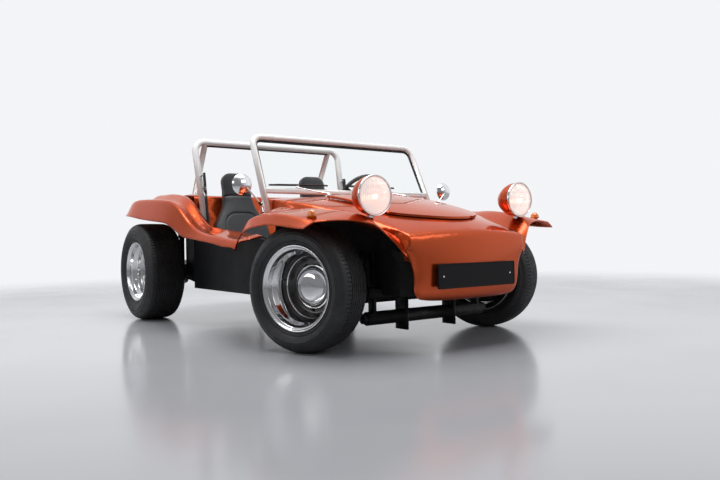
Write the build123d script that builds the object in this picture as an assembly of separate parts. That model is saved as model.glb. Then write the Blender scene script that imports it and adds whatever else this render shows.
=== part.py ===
from build123d import *
import math
import os

os.makedirs("parts", exist_ok=True)

# Open two-seat dune buggy.  Millimetres.  +X forward, +Y left, +Z up.
# The origin is on the ground, at the middle of the car's overall length and width.

# ---------------------------------------------------------------- driving dimensions
FRONT_AXLE_X = 1006.0
REAR_AXLE_X = -964.0
FRONT_HUB_Z = 310.0
REAR_HUB_Z = 338.0
REST_STEER = 18.7            # degrees to the left, how the car stands parked

RIM_SEAT_R = 190.5           # 15 inch bead seat
FLANGE_R = 207.5
FRONT_TYRE_R = 310.0
FRONT_TYRE_W = 212.0
FRONT_RIM_W = 175.0
REAR_TYRE_R = 338.0
REAR_TYRE_W = 272.0
REAR_RIM_W = 235.0
TYRE_WALL = 13.0
RUNNING_GAP = 0.3            # clearance of seated pieces on different bodies

KINGPIN_Y = 530.0
FRONT_RIM_OUT = 230.0        # kingpin to the rim's outer plane, along the axle
REAR_RIM_PLANE_Y = 838.0
DRUM_R = 125.0
DRUM_DEPTH = 52.0

SKIN = 5.0                   # moulded body shell
PLATE = 4.0                  # flat panels
FLOOR_Z = 232.0              # underside of the pan
PANEL_Y = 600.0              # outer face of the black side panels
LINER_HALF = 350.0           # half width of the front compartment

BEAM_X = 1170.0
BEAM_TUBE_R = 34.0
BEAM_LOW_Z = 145.0
BEAM_HIGH_Z = 270.0
BEAM_HALF = 395.0
TOWER_Y = LINER_HALF + 0.2   # inner face of the damper towers, against the liner

HOOP_R = 22.0                # roll-bar tube
HOOP_TOP = 1239.0            # the car's highest point
SCREEN_TUBE_R = 18.0         # windscreen frame tube


# ---------------------------------------------------------------- outline helpers
def rounded_wire(points, radii):
    """Closed outline of straight runs; a corner with a radius gets a tangent arc."""
    corners = [Vector(*p) for p in points]
    starts, ends, arcs = [], [], []
    for i, corner in enumerate(corners):
        if radii[i] == 0:
            starts.append(corner)
            ends.append(corner)
            arcs.append(None)
            continue
        back = (corners[i - 1] - corner).normalized()
        ahead = (corners[(i + 1) % len(corners)] - corner).normalized()
        half = math.radians(back.get_angle(ahead)) / 2
        reach = radii[i] / math.tan(half)
        bisector = (back + ahead).normalized()
        centre = corner + bisector * (radii[i] / math.sin(half))
        starts.append(corner + back * reach)
        ends.append(corner + ahead * reach)
        arcs.append(centre - bisector * radii[i])
    edges = []
    for i in range(len(corners)):
        if arcs[i] is not None:
            edges.append(Edge.make_three_point_arc(starts[i], arcs[i], ends[i]))
        edges.append(Edge.make_line(ends[i], starts[(i + 1) % len(corners)]))
    return Wire(edges)


def side_step(points, gap):
    """The open chain of (u, v) points moved by gap to the right of its direction."""
    normals = []
    for a, b in zip(points, points[1:]):
        length = math.hypot(b[0] - a[0], b[1] - a[1])
        normals.append(((b[1] - a[1]) / length, (a[0] - b[0]) / length))
    moved = []
    for i, p in enumerate(points):
        before = normals[max(i - 1, 0)]
        after = normals[min(i, len(normals) - 1)]
        scale = gap / (1 + before[0] * after[0] + before[1] * after[1])
        moved.append((p[0] + (before[0] + after[0]) * scale, p[1] + (before[1] + after[1]) * scale))
    return moved


def turn_sign(a, b, c):
    """+1 where the chain a, b, c turns left and -1 where it turns right."""
    cross = (b[0] - a[0]) * (c[1] - b[1]) - (b[1] - a[1]) * (c[0] - b[0])
    return 1 if cross > 0 else -1


def strip_outline(points, radii, wall):
    """Outline of a sheet of even thickness: the chain, and back along its offset."""
    inner = side_step(points, wall)
    inner_radii = []
    for i, radius in enumerate(radii):
        turn = turn_sign(points[i], points[i + 1], points[i + 2])
        inner_radii.append(max(radius + wall * turn, 1.0))
    return points + inner[::-1], [0] + radii + [0, 0] + inner_radii[::-1] + [0]


def strip_at_x(x, points, radii, wall):
    """The sheet's outline in the upright plane across the car at x, points as (y, z)."""
    outline, corner_radii = strip_outline(points, radii, wall)
    return rounded_wire([(x, y, z) for y, z in outline], corner_radii)


def flat_strip(points, radii, wall, half_width):
    """A sheet with the side profile (x, z), as wide as twice half_width."""
    outline, corner_radii = strip_outline(points, radii, wall)
    wire = rounded_wire([(x, -half_width, z) for x, z in outline], corner_radii)
    return extrude(Face(wire), amount=2 * half_width, dir=(0, 1, 0))


def block(x, y, z):
    """A box from its (low, high) limits."""
    size = [hi - lo for lo, hi in (x, y, z)]
    middle = [(hi + lo) / 2 for lo, hi in (x, y, z)]
    return Pos(*middle) * Box(*size)


def bar(start, end, radius):
    """A round bar between two points."""
    line = Edge.make_line(start, end)
    return Solid.extrude(Face(Wire([Edge.make_circle(radius, Plane(start, z_dir=line % 0))])),
                         Vector(*end) - Vector(*start))


def bent_tube(points, radius, bend):
    """A round tube along straight runs joined by bends of one radius."""
    path = FilletPolyline(*points, radius=bend)
    start = Plane(path @ 0, z_dir=path % 0)
    return sweep(start * Circle(radius), path=path)


def disc(centre, radius, depth, direction):
    """A cylinder that starts at centre and runs along direction."""
    return extrude(Plane(centre, z_dir=direction) * Circle(radius), amount=depth)


def dome_arc(edge_r, edge_y, top_y):
    """Arc of a spherical cap, from its edge to its top on the axis of revolution."""
    rise = top_y - edge_y
    radius = (edge_r ** 2 + rise ** 2) / (2 * rise)
    half_angle = math.asin(edge_r / radius) / 2
    middle = (radius * math.sin(half_angle), top_y - radius + radius * math.cos(half_angle))
    return ThreePointArc((edge_r, edge_y), middle, (0, top_y))


def mirrored(shape):
    return mirror(shape, about=Plane.XZ)


def seated(pieces, base):
    """Each solid cut to sit on the base's surface, without the offcuts below it."""
    kept = [max((piece - base).solids(), key=lambda solid: solid.volume) for piece in pieces.solids()]
    return kept[0] if len(kept) == 1 else Compound(children=kept)


# ---------------------------------------------------------------- body sections
# Right half of each section, from the hood's middle outwards: the hood's side crease, the
# valley between hood and fender, the fender's crown, its outer brow and its lower edge.
# Columns: x, hood z, crease (y, z), valley (y, z), crown (y, z), brow (y, z), edge (y, z)
FRONT_SECTIONS = [
    (430, 800, (568, 768), (588, 690), (640, 680), (760, 560), (800, 500)),
    (560, 796, (560, 763), (580, 692), (640, 684), (772, 575), (806, 490)),
    (700, 785, (540, 746), (562, 700), (642, 696), (798, 640), (822, 585)),
    (865, 760, (508, 722), (528, 697), (632, 701), (812, 668), (838, 608)),
    (1025, 729, (472, 688), (494, 664), (615, 696), (815, 668), (842, 613)),
    (1173, 695, (440, 652), (462, 628), (585, 684), (812, 650), (845, 600)),
    (1310, 657, (412, 612), (430, 592), (545, 664), (800, 626), (846, 591)),
    (1370, 637, (402, 595), (418, 574), (530, 646), (785, 612), (846, 590)),
    (1430, 614, (393, 576), (406, 545), (520, 600), (750, 594), (846, 586)),
    (1500, 583, (384, 544), (396, 440), (490, 545), (720, 570), (846, 578)),
    (1560, 556, (374, 512), (386, 340), (470, 480), (700, 550), (846, 570)),
]
FRONT_RADII = (30.0, 60.0, 30.0)          # valley, crown and brow
FENDER_REAR_X = FRONT_SECTIONS[1][0]
FENDER_TIP = (1325.0, 860.0)              # plan view of the fender's front edge
FENDER_MIDDLE = (1425.0, 530.0)
FENDER_ROOT = (1498.0, 390.0)

# The side of the tub from the front fender to the tail, left half.
# Columns: x, inner (y, z), hump (y, z), valley (y, z), brow (y, z), edge (y, z)
SIDE_SECTIONS = [
    (562, (600.5, 544), (640, 567), (712, 549), (782, 536), (800, 490)),
    (440, (600.5, 557), (640, 580), (712, 563), (784, 550), (801, 509)),
    (310, (600.5, 570), (640, 594), (712, 577), (784, 564), (802, 524)),
    (180, (600.5, 584), (640, 608), (712, 591), (784, 578), (803, 539)),
    (60, (600.5, 596), (640, 619), (712, 600), (784, 597), (804, 550)),
    (-40, (600.5, 606), (640, 629), (710, 608), (784, 632), (806, 560)),
    (-120, (600.5, 614), (638, 639), (708, 616), (784, 685), (810, 568)),
    (-200, (600.5, 640), (636, 671), (707, 650), (785, 743), (815, 590)),
    (-290, (599, 690), (634, 730), (706, 708), (788, 789), (820, 628)),
    (-390, (594, 752), (632, 797), (704, 770), (791, 814), (828, 660)),
    (-500, (585, 812), (629, 843), (703, 800), (794, 827), (834, 674)),
    (-640, (577, 852), (626, 868), (702, 812), (796, 838), (839, 686)),
    (-800, (577, 866), (626, 884), (702, 820), (797, 847), (841, 700)),
    (-960, (577, 866), (624, 889), (702, 826), (797, 853), (842, 718)),
    (-1090, (577, 866), (622, 890), (700, 828), (796, 848), (838, 732)),
    (-1190, (577, 842), (612, 868), (692, 812), (788, 820), (826, 740)),
    (-1275, (574, 794), (600, 806), (676, 776), (768, 768), (806, 746)),
]
SIDE_RADII = (22.0, 34.0, 24.0)
DECK_HALF = 577.0


def fender_front():
    """Left front wing: a thin lofted skin, trimmed to its curved front edge."""
    wires = []
    for x, _, _, valley, crown, brow, edge in FRONT_SECTIONS[1:]:
        rise = (valley[0] + 18, valley[1] - 3)
        wires.append(strip_at_x(x, [valley, rise, crown, brow, edge], list(FRONT_RADII), SKIN))
    skin = Solid.make_loft(wires)
    rim = Edge.make_three_point_arc((*FENDER_TIP, 0), (*FENDER_MIDDLE, 0), (*FENDER_ROOT, 0))
    back = Polyline((*FENDER_ROOT, 0), (FENDER_REAR_X - 50, FENDER_ROOT[1], 0),
                    (FENDER_REAR_X - 50, FENDER_TIP[1], 0), (*FENDER_TIP, 0))
    plan = Face(Wire([rim] + list(back.edges())))
    return skin & extrude(plan, amount=1000, dir=(0, 0, 1))


def hood_volume(inset, drop):
    """Everything under the hood's surface, down to drop below the valley lines."""
    wires = []
    for x, top, crease, valley, _, _, _ in FRONT_SECTIONS:
        cy, cz = crease[0] - inset, crease[1] - inset
        vy, vz = valley[0] - inset, valley[1] - drop
        arc = Edge.make_three_point_arc((x, -cy, cz), (x, 0, top - inset), (x, cy, cz))
        rest = Polyline((x, cy, cz), (x, vy, vz), (x, -vy, vz), (x, -cy, cz))
        wires.append(Wire([arc] + list(rest.edges())))
    return Solid.make_loft(wires)


# Plan view of the nose at four heights: z, front x, corner (x, y)
NOSE_PLAN = [
    (238, 1474, (1440, 300)),
    (264, 1520, (1482, 336)),
    (330, 1537, (1502, 347)),
    (400, 1539, (1503, 356)),
    (480, 1537, (1496, 402)),
    (560, 1530, (1478, 442)),
    (660, 1516, (1450, 470)),
]
NOSE_CORNER_R = 30.0
NOSE_BACK_X = 1476.0                      # where the nose's side returns end
NOSE_FLARE_Z = 430.0                      # above this its sides run back under the fenders


def nose_volume(inset):
    """The nose as a solid, from its lower edge up past the hood."""
    back_x = NOSE_BACK_X - 200
    wires = []
    for z, front_x, corner in NOSE_PLAN:
        cx, cy = corner[0] - inset, corner[1] - inset
        arc = Edge.make_three_point_arc((cx, -cy, z), (front_x - inset, 0, z), (cx, cy, z))
        sides = Polyline((cx, cy, z), (back_x, cy, z), (back_x, -cy, z), (cx, -cy, z))
        face = Face(Wire([arc] + list(sides.edges())))
        corners = [v for v in face.vertices() if abs(v.X - cx) < 0.01]
        wires.append(face.fillet_2d(NOSE_CORNER_R - inset, corners).outer_wire())
    return Solid.make_loft(wires)


LID_REAR_X = 742.0
LID_HALF_REAR = 330.0
LID_HALF_FRONT = 300.0
LID_SHOULDER_X = 1240.0
LID_FRONT_X = 1400.0
LID_LIFT = 6.0                            # gap between the hood and the lid
LID_THICK = 11.0
LID_HINGE_X = 740.0
LID_HINGE_Y = 150.0
LUG_R = 5.0
LUG_HALF = 18.0
LID_OVERLAP = 24.0                        # how far the lid covers the hood round its opening


def lid_plan(shrink):
    """Tongue-shaped plan outline of the bonnet lid."""
    rear = LID_REAR_X + shrink
    half_rear, half_front = LID_HALF_REAR - shrink, LID_HALF_FRONT - shrink
    tip = Edge.make_three_point_arc((LID_SHOULDER_X, half_front, 0), (LID_FRONT_X - shrink, 0, 0),
                                    (LID_SHOULDER_X, -half_front, 0))
    rest = Polyline((LID_SHOULDER_X, -half_front, 0), (rear, -half_rear, 0),
                    (rear, half_rear, 0), (LID_SHOULDER_X, half_front, 0))
    return extrude(Face(Wire([tip] + list(rest.edges()))), amount=1000, dir=(0, 0, 1))


def nose():
    """Hood skin and nose skin in one piece, with the opening under the lid."""
    hood_top = hood_volume(0, SKIN) - hood_volume(SKIN, 60)
    hood_front = block((1300, 1700), (-600, 600), (0, 1000))
    hood_skin = (hood_top - hood_front) + (hood_top & hood_front & nose_volume(0))
    wall = nose_volume(0) - nose_volume(SKIN)
    wall &= (block((NOSE_BACK_X, 1700), (-600, 600), (0, 1000))
             + block((1380, 1700), (-600, 600), (NOSE_FLARE_Z, 1000)))
    nose_skin = wall & hood_volume(0, 500)
    return (hood_skin + nose_skin) - lid_plan(LID_OVERLAP)


def surface_z(shape, x, y):
    """Height of a solid's top at one place."""
    return (Edge.make_line((x, y, 0), (x, y, 1500)) & shape).bounding_box().max.Z


def bonnet_lid():
    """Curved lid that follows the hood, with a round lug at each hinge."""
    hood = hood_volume(0, 400)
    raised = Pos(0, 0, LID_LIFT + LID_THICK) * hood_volume(0, 0.5)
    lid = (raised - Pos(0, 0, LID_LIFT) * hood) & lid_plan(0)
    lug_z = surface_z(hood, LID_HINGE_X, LID_HINGE_Y - LUG_HALF) + RUNNING_GAP + LUG_R
    for y in (-LID_HINGE_Y, LID_HINGE_Y):
        lid += disc((LID_HINGE_X, y - LUG_HALF, lug_z), LUG_R, 2 * LUG_HALF, (0, 1, 0))
    return lid


def body_side():
    """Sill and rear fender of the left side as one lofted skin."""
    wires = [strip_at_x(x, list(chain), list(SIDE_RADII), SKIN) for x, *chain in SIDE_SECTIONS]
    return Solid.make_loft(wires)


# ---------------------------------------------------------------- rear deck
DECK_PROFILE = [(-1262, 700), (-1215, 835), (-1080, 866), (-640, 866), (-515, 852), (-430, 560)]
DECK_RADII = [50.0, 90.0, 60.0, 28.0]
LAMP_Y = 430.0
LAMP_Z = 775.0


def rear_deck():
    """Bulkhead behind the seats, deck and tail panel, bent from one sheet."""
    return flat_strip(DECK_PROFILE, DECK_RADII, SKIN, DECK_HALF)


def tail_lamps():
    """Round red lamps on the tail panel."""
    (low_x, low_z), (high_x, high_z) = DECK_PROFILE[:2]
    face_x = low_x + (LAMP_Z - low_z) / (high_z - low_z) * (high_x - low_x)
    direction = (low_z - high_z, 0, high_x - low_x)
    lamps = []
    for y in (-LAMP_Y, LAMP_Y):
        foot = disc((face_x, y, LAMP_Z), 52, 16, direction)
        lens = disc((face_x, y, LAMP_Z), 45, 34, direction)
        lamps.append(foot + lens)
    return Compound(children=lamps)


# ---------------------------------------------------------------- tub, pan and panels
PAN_FRONT_X = 700.0
PAN_REAR_X = -480.0
PANEL_FRONT_X = 575.0
TUNNEL_HALF = 75.0
TUNNEL_TOP = 345.0
PANEL_OUTLINE = [(PANEL_FRONT_X, 540), (PANEL_FRONT_X, FLOOR_Z), (PAN_REAR_X, FLOOR_Z), (PAN_REAR_X, 640),
                 (-250, 640), (-200, 638), (-120, 612), (60, 594), (310, 568), (540, 543)]
WHEELHOUSE_Y = 560.0         # outer face of the panels beside the engine
WHEELHOUSE_BACK_X = -720.0


def floor_pan():
    """Flat pan with a raised central tunnel."""
    half = PANEL_Y - PLATE
    corners = [(PAN_REAR_X, half), (PANEL_FRONT_X, half), (PAN_FRONT_X, LINER_HALF)]
    corners += [(x, -y) for x, y in reversed(corners)]
    pan = extrude(Pos(0, 0, FLOOR_Z) * make_face(Polyline(*corners, close=True)), amount=PLATE)
    tunnel = block((PAN_REAR_X, PAN_FRONT_X), (-TUNNEL_HALF, TUNNEL_HALF), (FLOOR_Z, TUNNEL_TOP))
    tunnel = fillet(tunnel.edges().filter_by(Axis.X).group_by(Axis.Z)[-1], 40)
    inside = block((PAN_REAR_X - 1, PAN_FRONT_X + 1), (-TUNNEL_HALF + 6, TUNNEL_HALF - 6),
                   (FLOOR_Z - 1, TUNNEL_TOP - 6))
    inside = fillet(inside.edges().filter_by(Axis.X).group_by(Axis.Z)[-1], 34)
    return pan + tunnel - inside


REAR_WALL_TOP = 640.0
WHEELHOUSE_LIFT = 120.0       # wheelhouse wall's foot over the pan
WHEELHOUSE_BELOW_DECK = 60.0


def side_panel():
    """Left upright panel from the pan up to the sill."""
    outline = [(x, PANEL_Y - PLATE, z) for x, z in PANEL_OUTLINE]
    panel = extrude(Face(Wire(Polyline(*outline, close=True).edges())), amount=PLATE, dir=(0, 1, 0))
    wall_x, wall_y = (PAN_REAR_X, PAN_REAR_X + PLATE), (WHEELHOUSE_Y - PLATE, PANEL_Y - PLATE)
    panel += block(wall_x, wall_y, (FLOOR_Z + PLATE, REAR_WALL_TOP))
    house_z = (FLOOR_Z + WHEELHOUSE_LIFT, DECK_PROFILE[2][1] - WHEELHOUSE_BELOW_DECK)
    panel += block((WHEELHOUSE_BACK_X, PAN_REAR_X), (WHEELHOUSE_Y - PLATE, WHEELHOUSE_Y), house_z)
    return panel


LINER_PLAN = [(560, 576), (700, LINER_HALF), (1380, LINER_HALF), (1468, 285)]
LINER_SIDE = [(560, 236), (760, 236), (760, 312), (1226, 312), (1252, 264), (1468, 264),
              (1468, 900), (560, 900)]
BULKHEAD_X = 780.0


def liner_solid(shrink):
    """The liner's outer form: its plan and its side profile crossed."""
    tip_x, tip_y = LINER_PLAN[-1]
    half = [(x, y - shrink) for x, y in LINER_PLAN[:-1]] + [(tip_x - shrink, tip_y - shrink)]
    plan = Polyline(*(half + [(x, -y) for x, y in reversed(half)]), close=True)
    side = [(x, 0, z + shrink) for x, z in LINER_SIDE]
    tall = extrude(make_face(plan), amount=1000)
    side_face = Face(Wire(Polyline(*side, close=True).edges()))
    return tall & extrude(side_face, amount=700, dir=(0, 1, 0), both=True)


def front_liner():
    """Footwell walls, bulkhead and the luggage tub behind the nose, up to the hood's underside."""
    walls = liner_solid(0) - liner_solid(PLATE) - block((500, 760), (-560, 560), (0, FLOOR_Z + 60))
    walls += liner_solid(0) & block((BULKHEAD_X, BULKHEAD_X + PLATE), (-600, 600), (0, 1000))
    return walls & hood_volume(SKIN, 600)


# ---------------------------------------------------------------- wheels
def tyre(radius, width, rim_width):
    """Hollow tyre carcass; axis +Y, outer rim plane at y = 0, centred on the rim."""
    mid = -rim_width / 2
    half = width / 2
    bead = rim_width / 2 - 13
    bulge_r = (radius + RIM_SEAT_R) / 2 + 2
    shoulder = half - 58
    with BuildPart() as carcass:
        with BuildSketch(Plane.XY):
            with BuildLine():
                for s in (1, -1):
                    flange = (FLANGE_R + 1, mid + s * (rim_width / 2 - 7.5))
                    Line((RIM_SEAT_R + 0.2, mid + s * bead), flange)
                    ThreePointArc(flange,
                                  (bulge_r, mid + s * half),
                                  (radius - 30, mid + s * (half - 12)))
                    ThreePointArc((radius - 30, mid + s * (half - 12)),
                                  (radius - 9, mid + s * (half - 32)),
                                  (radius - 1.5, mid + s * shoulder))
                    Line((RIM_SEAT_R + 0.2, mid + s * (bead - 14)), (RIM_SEAT_R + 0.2, mid + s * bead))
                    Line((RIM_SEAT_R + 0.2, mid + s * (bead - 14)),
                         (bulge_r, mid + s * (half - TYRE_WALL)))
                    Line((bulge_r, mid + s * (half - TYRE_WALL)), (radius - 24, mid + s * (shoulder - 4)))
                ThreePointArc((radius - 1.5, mid + shoulder), (radius, mid), (radius - 1.5, mid - shoulder))
                Line((radius - 24, mid + shoulder - 4), (radius - 24, mid - shoulder + 4))
            make_face()
        revolve(axis=Axis.Y)
    return carcass.part


def barrel_profile(width):
    """Half section (r, y) of a deep drop-centre rim: outer side, then back along the inside."""
    outer = [(FLANGE_R, 0), (FLANGE_R, -7), (RIM_SEAT_R, -12), (RIM_SEAT_R - 1, -46), (170, -62),
             (170, -width + 62), (RIM_SEAT_R - 1, -width + 46), (RIM_SEAT_R, -width + 12),
             (FLANGE_R, -width + 7), (FLANGE_R, -width)]
    inner = [(FLANGE_R - 8, -width), (RIM_SEAT_R - 6, -width + 16), (RIM_SEAT_R - 7, -width + 43),
             (165, -width + 58), (165, -58), (RIM_SEAT_R - 7, -43), (RIM_SEAT_R - 6, -16),
             (FLANGE_R - 8, 0)]
    return outer + inner


def ring(points):
    """A solid of revolution about the wheel's axis from its (r, y) half section."""
    return revolve(make_face(Polyline(*points, close=True)), axis=Axis.Y)


FRONT_DISC_Y = -148.0
REAR_DISC_Y = -120.0
CAP_R = 108.0
SLOT_RING_R = 146.0
SLOTS = 8


def front_wheel():
    """Deep rim, slotted centre disc, domed cap and brake drum; axis +Y, rim plane at y = 0."""
    rim = ring(barrel_profile(FRONT_RIM_W))
    centre = ring([(30, FRONT_DISC_Y - 6), (132, FRONT_DISC_Y - 6), (167, FRONT_DISC_Y + 38),
                   (167, FRONT_DISC_Y + 46), (128, FRONT_DISC_Y), (30, FRONT_DISC_Y)])
    places = PolarLocations(SLOT_RING_R, SLOTS, start_angle=180 / SLOTS)
    slots = Sketch() + [place * Rot(0, 0, 90) * SlotCenterToCenter(34, 16) for place in places]
    tool = Pos(0, FRONT_DISC_Y + 60, 0) * Rot(90, 0, 0) * extrude(slots, amount=120)
    base = FRONT_DISC_Y - 3
    cap = revolve(make_face(Line((0, -98), (0, base)) + Line((0, base), (CAP_R, base))
                            + Line((CAP_R, base), (CAP_R, base + 10))
                            + dome_arc(CAP_R, base + 10, -98)), axis=Axis.Y)
    drum = disc((0, base, 0), DRUM_R, DRUM_DEPTH, (0, -1, 0))
    drum -= disc((0, base - DRUM_DEPTH, 0), DRUM_R - 10, 30, (0, 1, 0))
    drum -= disc((0, base - DRUM_DEPTH, 0), STUB_R + RUNNING_GAP, DRUM_DEPTH - 2, (0, 1, 0))
    return rim + (centre - tool) + cap + drum


def rear_wheel():
    """Wider rim with five broad spokes, small cap and brake drum."""
    rim = ring(barrel_profile(REAR_RIM_W))
    face = ring([(0, REAR_DISC_Y), (167, REAR_DISC_Y + 4), (167, REAR_DISC_Y + 16), (60, REAR_DISC_Y + 30),
                 (0, REAR_DISC_Y + 30)])
    windows = Sketch() + [place * Ellipse(42, 30) for place in PolarLocations(112, 5, start_angle=36)]
    tool = Pos(0, REAR_DISC_Y + 60, 0) * Rot(90, 0, 0) * extrude(windows, amount=120)
    cap = disc((0, REAR_DISC_Y + 20, 0), 40, 26, (0, 1, 0))
    drum = disc((0, REAR_DISC_Y + 2, 0), DRUM_R, 72, (0, -1, 0))
    drum -= disc((0, REAR_DISC_Y - 70, 0), STUB_R + RUNNING_GAP, 60, (0, 1, 0))
    return rim + (face - tool) + cap + drum


def kingpin(side):
    """Place of the kingpin's middle on one side, turned to the parked steering angle."""
    return Pos(FRONT_AXLE_X, side * KINGPIN_Y, FRONT_HUB_Z) * Rot(0, 0, REST_STEER)


def at_front(shape, side):
    """Put a wheel-side piece, made for y outwards from the kingpin, on one side."""
    turned = shape if side > 0 else Rot(0, 0, 180) * shape
    return kingpin(side) * turned


def at_rear(shape, side):
    turned = shape if side > 0 else Rot(0, 0, 180) * shape
    return Pos(REAR_AXLE_X, side * REAR_RIM_PLANE_Y, REAR_HUB_Z) * turned


# ---------------------------------------------------------------- front suspension
FORK_HALF = 78.0             # half height of the knuckle's fork
EYE_R = 24.0
PIN_R = 9.0
ARM_REACH = 120.0            # steering arm, straight back from the kingpin
ARM_DROP = 95.0              # steering arm below the hub
STUB_R = 16.0


def knuckle(side):
    """Fork round the kingpin boss, with the stub axle and the steering arm."""
    out = side
    top = disc((0, 0, FORK_HALF - 14), EYE_R, 14, (0, 0, 1))
    bottom = disc((0, 0, -FORK_HALF), EYE_R, 14, (0, 0, 1))
    web_y = sorted((out * (EYE_R - 10), out * (EYE_R + 2)))
    web = block((-24, 24), web_y, (-FORK_HALF, FORK_HALF))
    clear = disc((0, 0, -FORK_HALF + 14), EYE_R - 1, 2 * FORK_HALF - 28, (0, 0, 1))
    fork = top + bottom + (web - clear)
    pin = disc((0, 0, -FORK_HALF), PIN_R, 2 * FORK_HALF, (0, 0, 1))
    stub = disc((0, out * (EYE_R + 1), 0), STUB_R, 51, (0, out, 0))
    arm = block((-ARM_REACH - 14, 4), (-11, 11), (-ARM_DROP, -FORK_HALF + 10))
    eye = disc((-ARM_REACH, 0, -ARM_DROP), 5, 34, (0, 0, 1))
    return kingpin(side) * (fork + pin + stub + arm - eye)


def track_rod():
    """Straight rod between the two steering arms, with an upright pin at each end."""
    shift = Vector(-ARM_REACH, 0, 0).rotate(Axis.Z, REST_STEER)
    z = FRONT_HUB_Z - ARM_DROP - 16
    points = [Vector(FRONT_AXLE_X, s * KINGPIN_Y, z) + shift for s in (-1, 1)]
    rod = bar(points[0], points[1], 9)
    for p in points:
        rod += disc(p - Vector(0, 0, 11), 15, 22, (0, 0, 1))
    rod += disc(points[0], 4.7, 16 + 28, (0, 0, 1))
    return rod


def front_beam():
    """Two cross tubes in end plates, with the steering box and the mounting clamps."""
    beam = Part()
    for z in (BEAM_LOW_Z, BEAM_HIGH_Z):
        beam += disc((BEAM_X, -BEAM_HALF, z), BEAM_TUBE_R, 2 * BEAM_HALF, (0, 1, 0))
    for y in (-TOWER_Y - 12, TOWER_Y):
        beam += block((BEAM_X - 26, BEAM_X + 26), (y, y + 12), (BEAM_LOW_Z, 470))
    for y in (-170, 158):
        beam += block((BEAM_X - 50, BEAM_X + 42), (y, y + 12), (BEAM_LOW_Z - 70, BEAM_HIGH_Z))
    return beam


def trailing_arms():
    """Four arms back from the beam and the two kingpin bosses that they carry."""
    arms = []
    for side in (-1, 1):
        boss = disc((FRONT_AXLE_X, side * KINGPIN_Y, FRONT_HUB_Z - FORK_HALF + 14 + RUNNING_GAP), 20,
                    2 * (FORK_HALF - 14 - RUNNING_GAP), (0, 0, 1))
        hub = boss
        for beam_z, end_z in ((BEAM_LOW_Z, FRONT_HUB_Z - 42), (BEAM_HIGH_Z, FRONT_HUB_Z + 42)):
            root = Vector(BEAM_X, side * (BEAM_HALF + 12), beam_z)
            tip = Vector(FRONT_AXLE_X + 20, side * (KINGPIN_Y - 52), end_z)
            hub += bar(root, tip, 14)
            hub += disc(root - Vector(0, side * 12, 0), 24, 26, (0, side, 0))
            hub += bar(tip, Vector(FRONT_AXLE_X, side * (KINGPIN_Y - 12), end_z), 13)
        hub -= disc((FRONT_AXLE_X, side * KINGPIN_Y, 0), PIN_R + RUNNING_GAP, 900, (0, 0, 1))
        arms.append(hub)
    return Compound(children=arms)


def front_dampers():
    """Upright dampers between the beam's towers and the lower arms."""
    out = []
    for side in (-1, 1):
        low = Vector(1090, side * 440, 235)
        high = Vector(1150, side * 385, 475)
        out.append(bar(low, (low + high) * 0.5, 16) + bar((low + high) * 0.5, high, 23))
    return Compound(children=out)


# ---------------------------------------------------------------- rear running gear
def gearbox():
    body = block((-910, PAN_REAR_X - 104.6), (-95, 95), (250, 430))
    body = fillet(body.edges().filter_by(Axis.X), 45)
    side = disc((REAR_AXLE_X, -150, REAR_HUB_Z), 78, 300, (0, 1, 0))
    bell = Pos(ENGINE_FRONT_X + 60, 0, REAR_HUB_Z + 12) * Rot(0, 90, 0) * Cone(150, 96, 120)
    return body + bell + side


PLATE_INNER_Y = 520.0
HUB_FACE_Y = 642.0


def rear_suspension():
    """Torsion tube with trailing plates, swing-axle tubes with hub housings, and the dampers."""
    tube = disc((PAN_REAR_X - 52.2, -PLATE_INNER_Y, 300), 52, 2 * PLATE_INNER_Y, (0, 1, 0))
    for side in (-1, 1):
        y = min(side * PLATE_INNER_Y, side * (PLATE_INNER_Y + 8))
        plate = Polyline((-500, y, 330), (-500, y, 262), (-560, y, 250), (-1010, y, 308),
                         (-1010, y, 372), (-560, y, 350), close=True)
        tube += extrude(Face(Wire(plate.edges())), amount=8, dir=(0, 1, 0))
        tube += disc((REAR_AXLE_X, side * 150, REAR_HUB_Z), 42, PLATE_INNER_Y - 150, (0, side, 0))
        tube += disc((REAR_AXLE_X, side * (PLATE_INNER_Y + 8), REAR_HUB_Z), 70,
                     HUB_FACE_Y - PLATE_INNER_Y - 8, (0, side, 0))
        tube += disc((REAR_AXLE_X, side * HUB_FACE_Y, REAR_HUB_Z), STUB_R, 52, (0, side, 0))
        damper_x = REAR_AXLE_X - 42 - 17
        tube += disc((damper_x, side * 470, REAR_HUB_Z - 20), 18, 260, (0, 0, 1))
        tube += disc((damper_x, side * 470, 570), 27, DECK_PROFILE[2][1] - SKIN - 570, (0, 0, 1))
    return tube


ENGINE_FRONT_X = -1060.0
ENGINE_REAR_X = -1380.0


def engine_block():
    """Flat four: crankcase, two finned cylinder banks and the rocker covers."""
    case = block((ENGINE_REAR_X, ENGINE_FRONT_X), (-130, 130), (235, 440))
    case = fillet(case.edges().filter_by(Axis.X), 35)
    for side in (-1, 1):
        for x in (-1150, -1290):
            case += disc((x, side * 130, 345), 48, 150, (0, side, 0))
            for k in range(7):
                case += disc((x, side * (145 + k * 18), 345), 62, 6, (0, side, 0))
        y = sorted((side * 275, side * 345))
        case += block((-1360, -1080), y, (290, 400))
        y = sorted((side * 345, side * 372))
        case += block((-1355, -1085), y, (300, 372))
    return case


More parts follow.
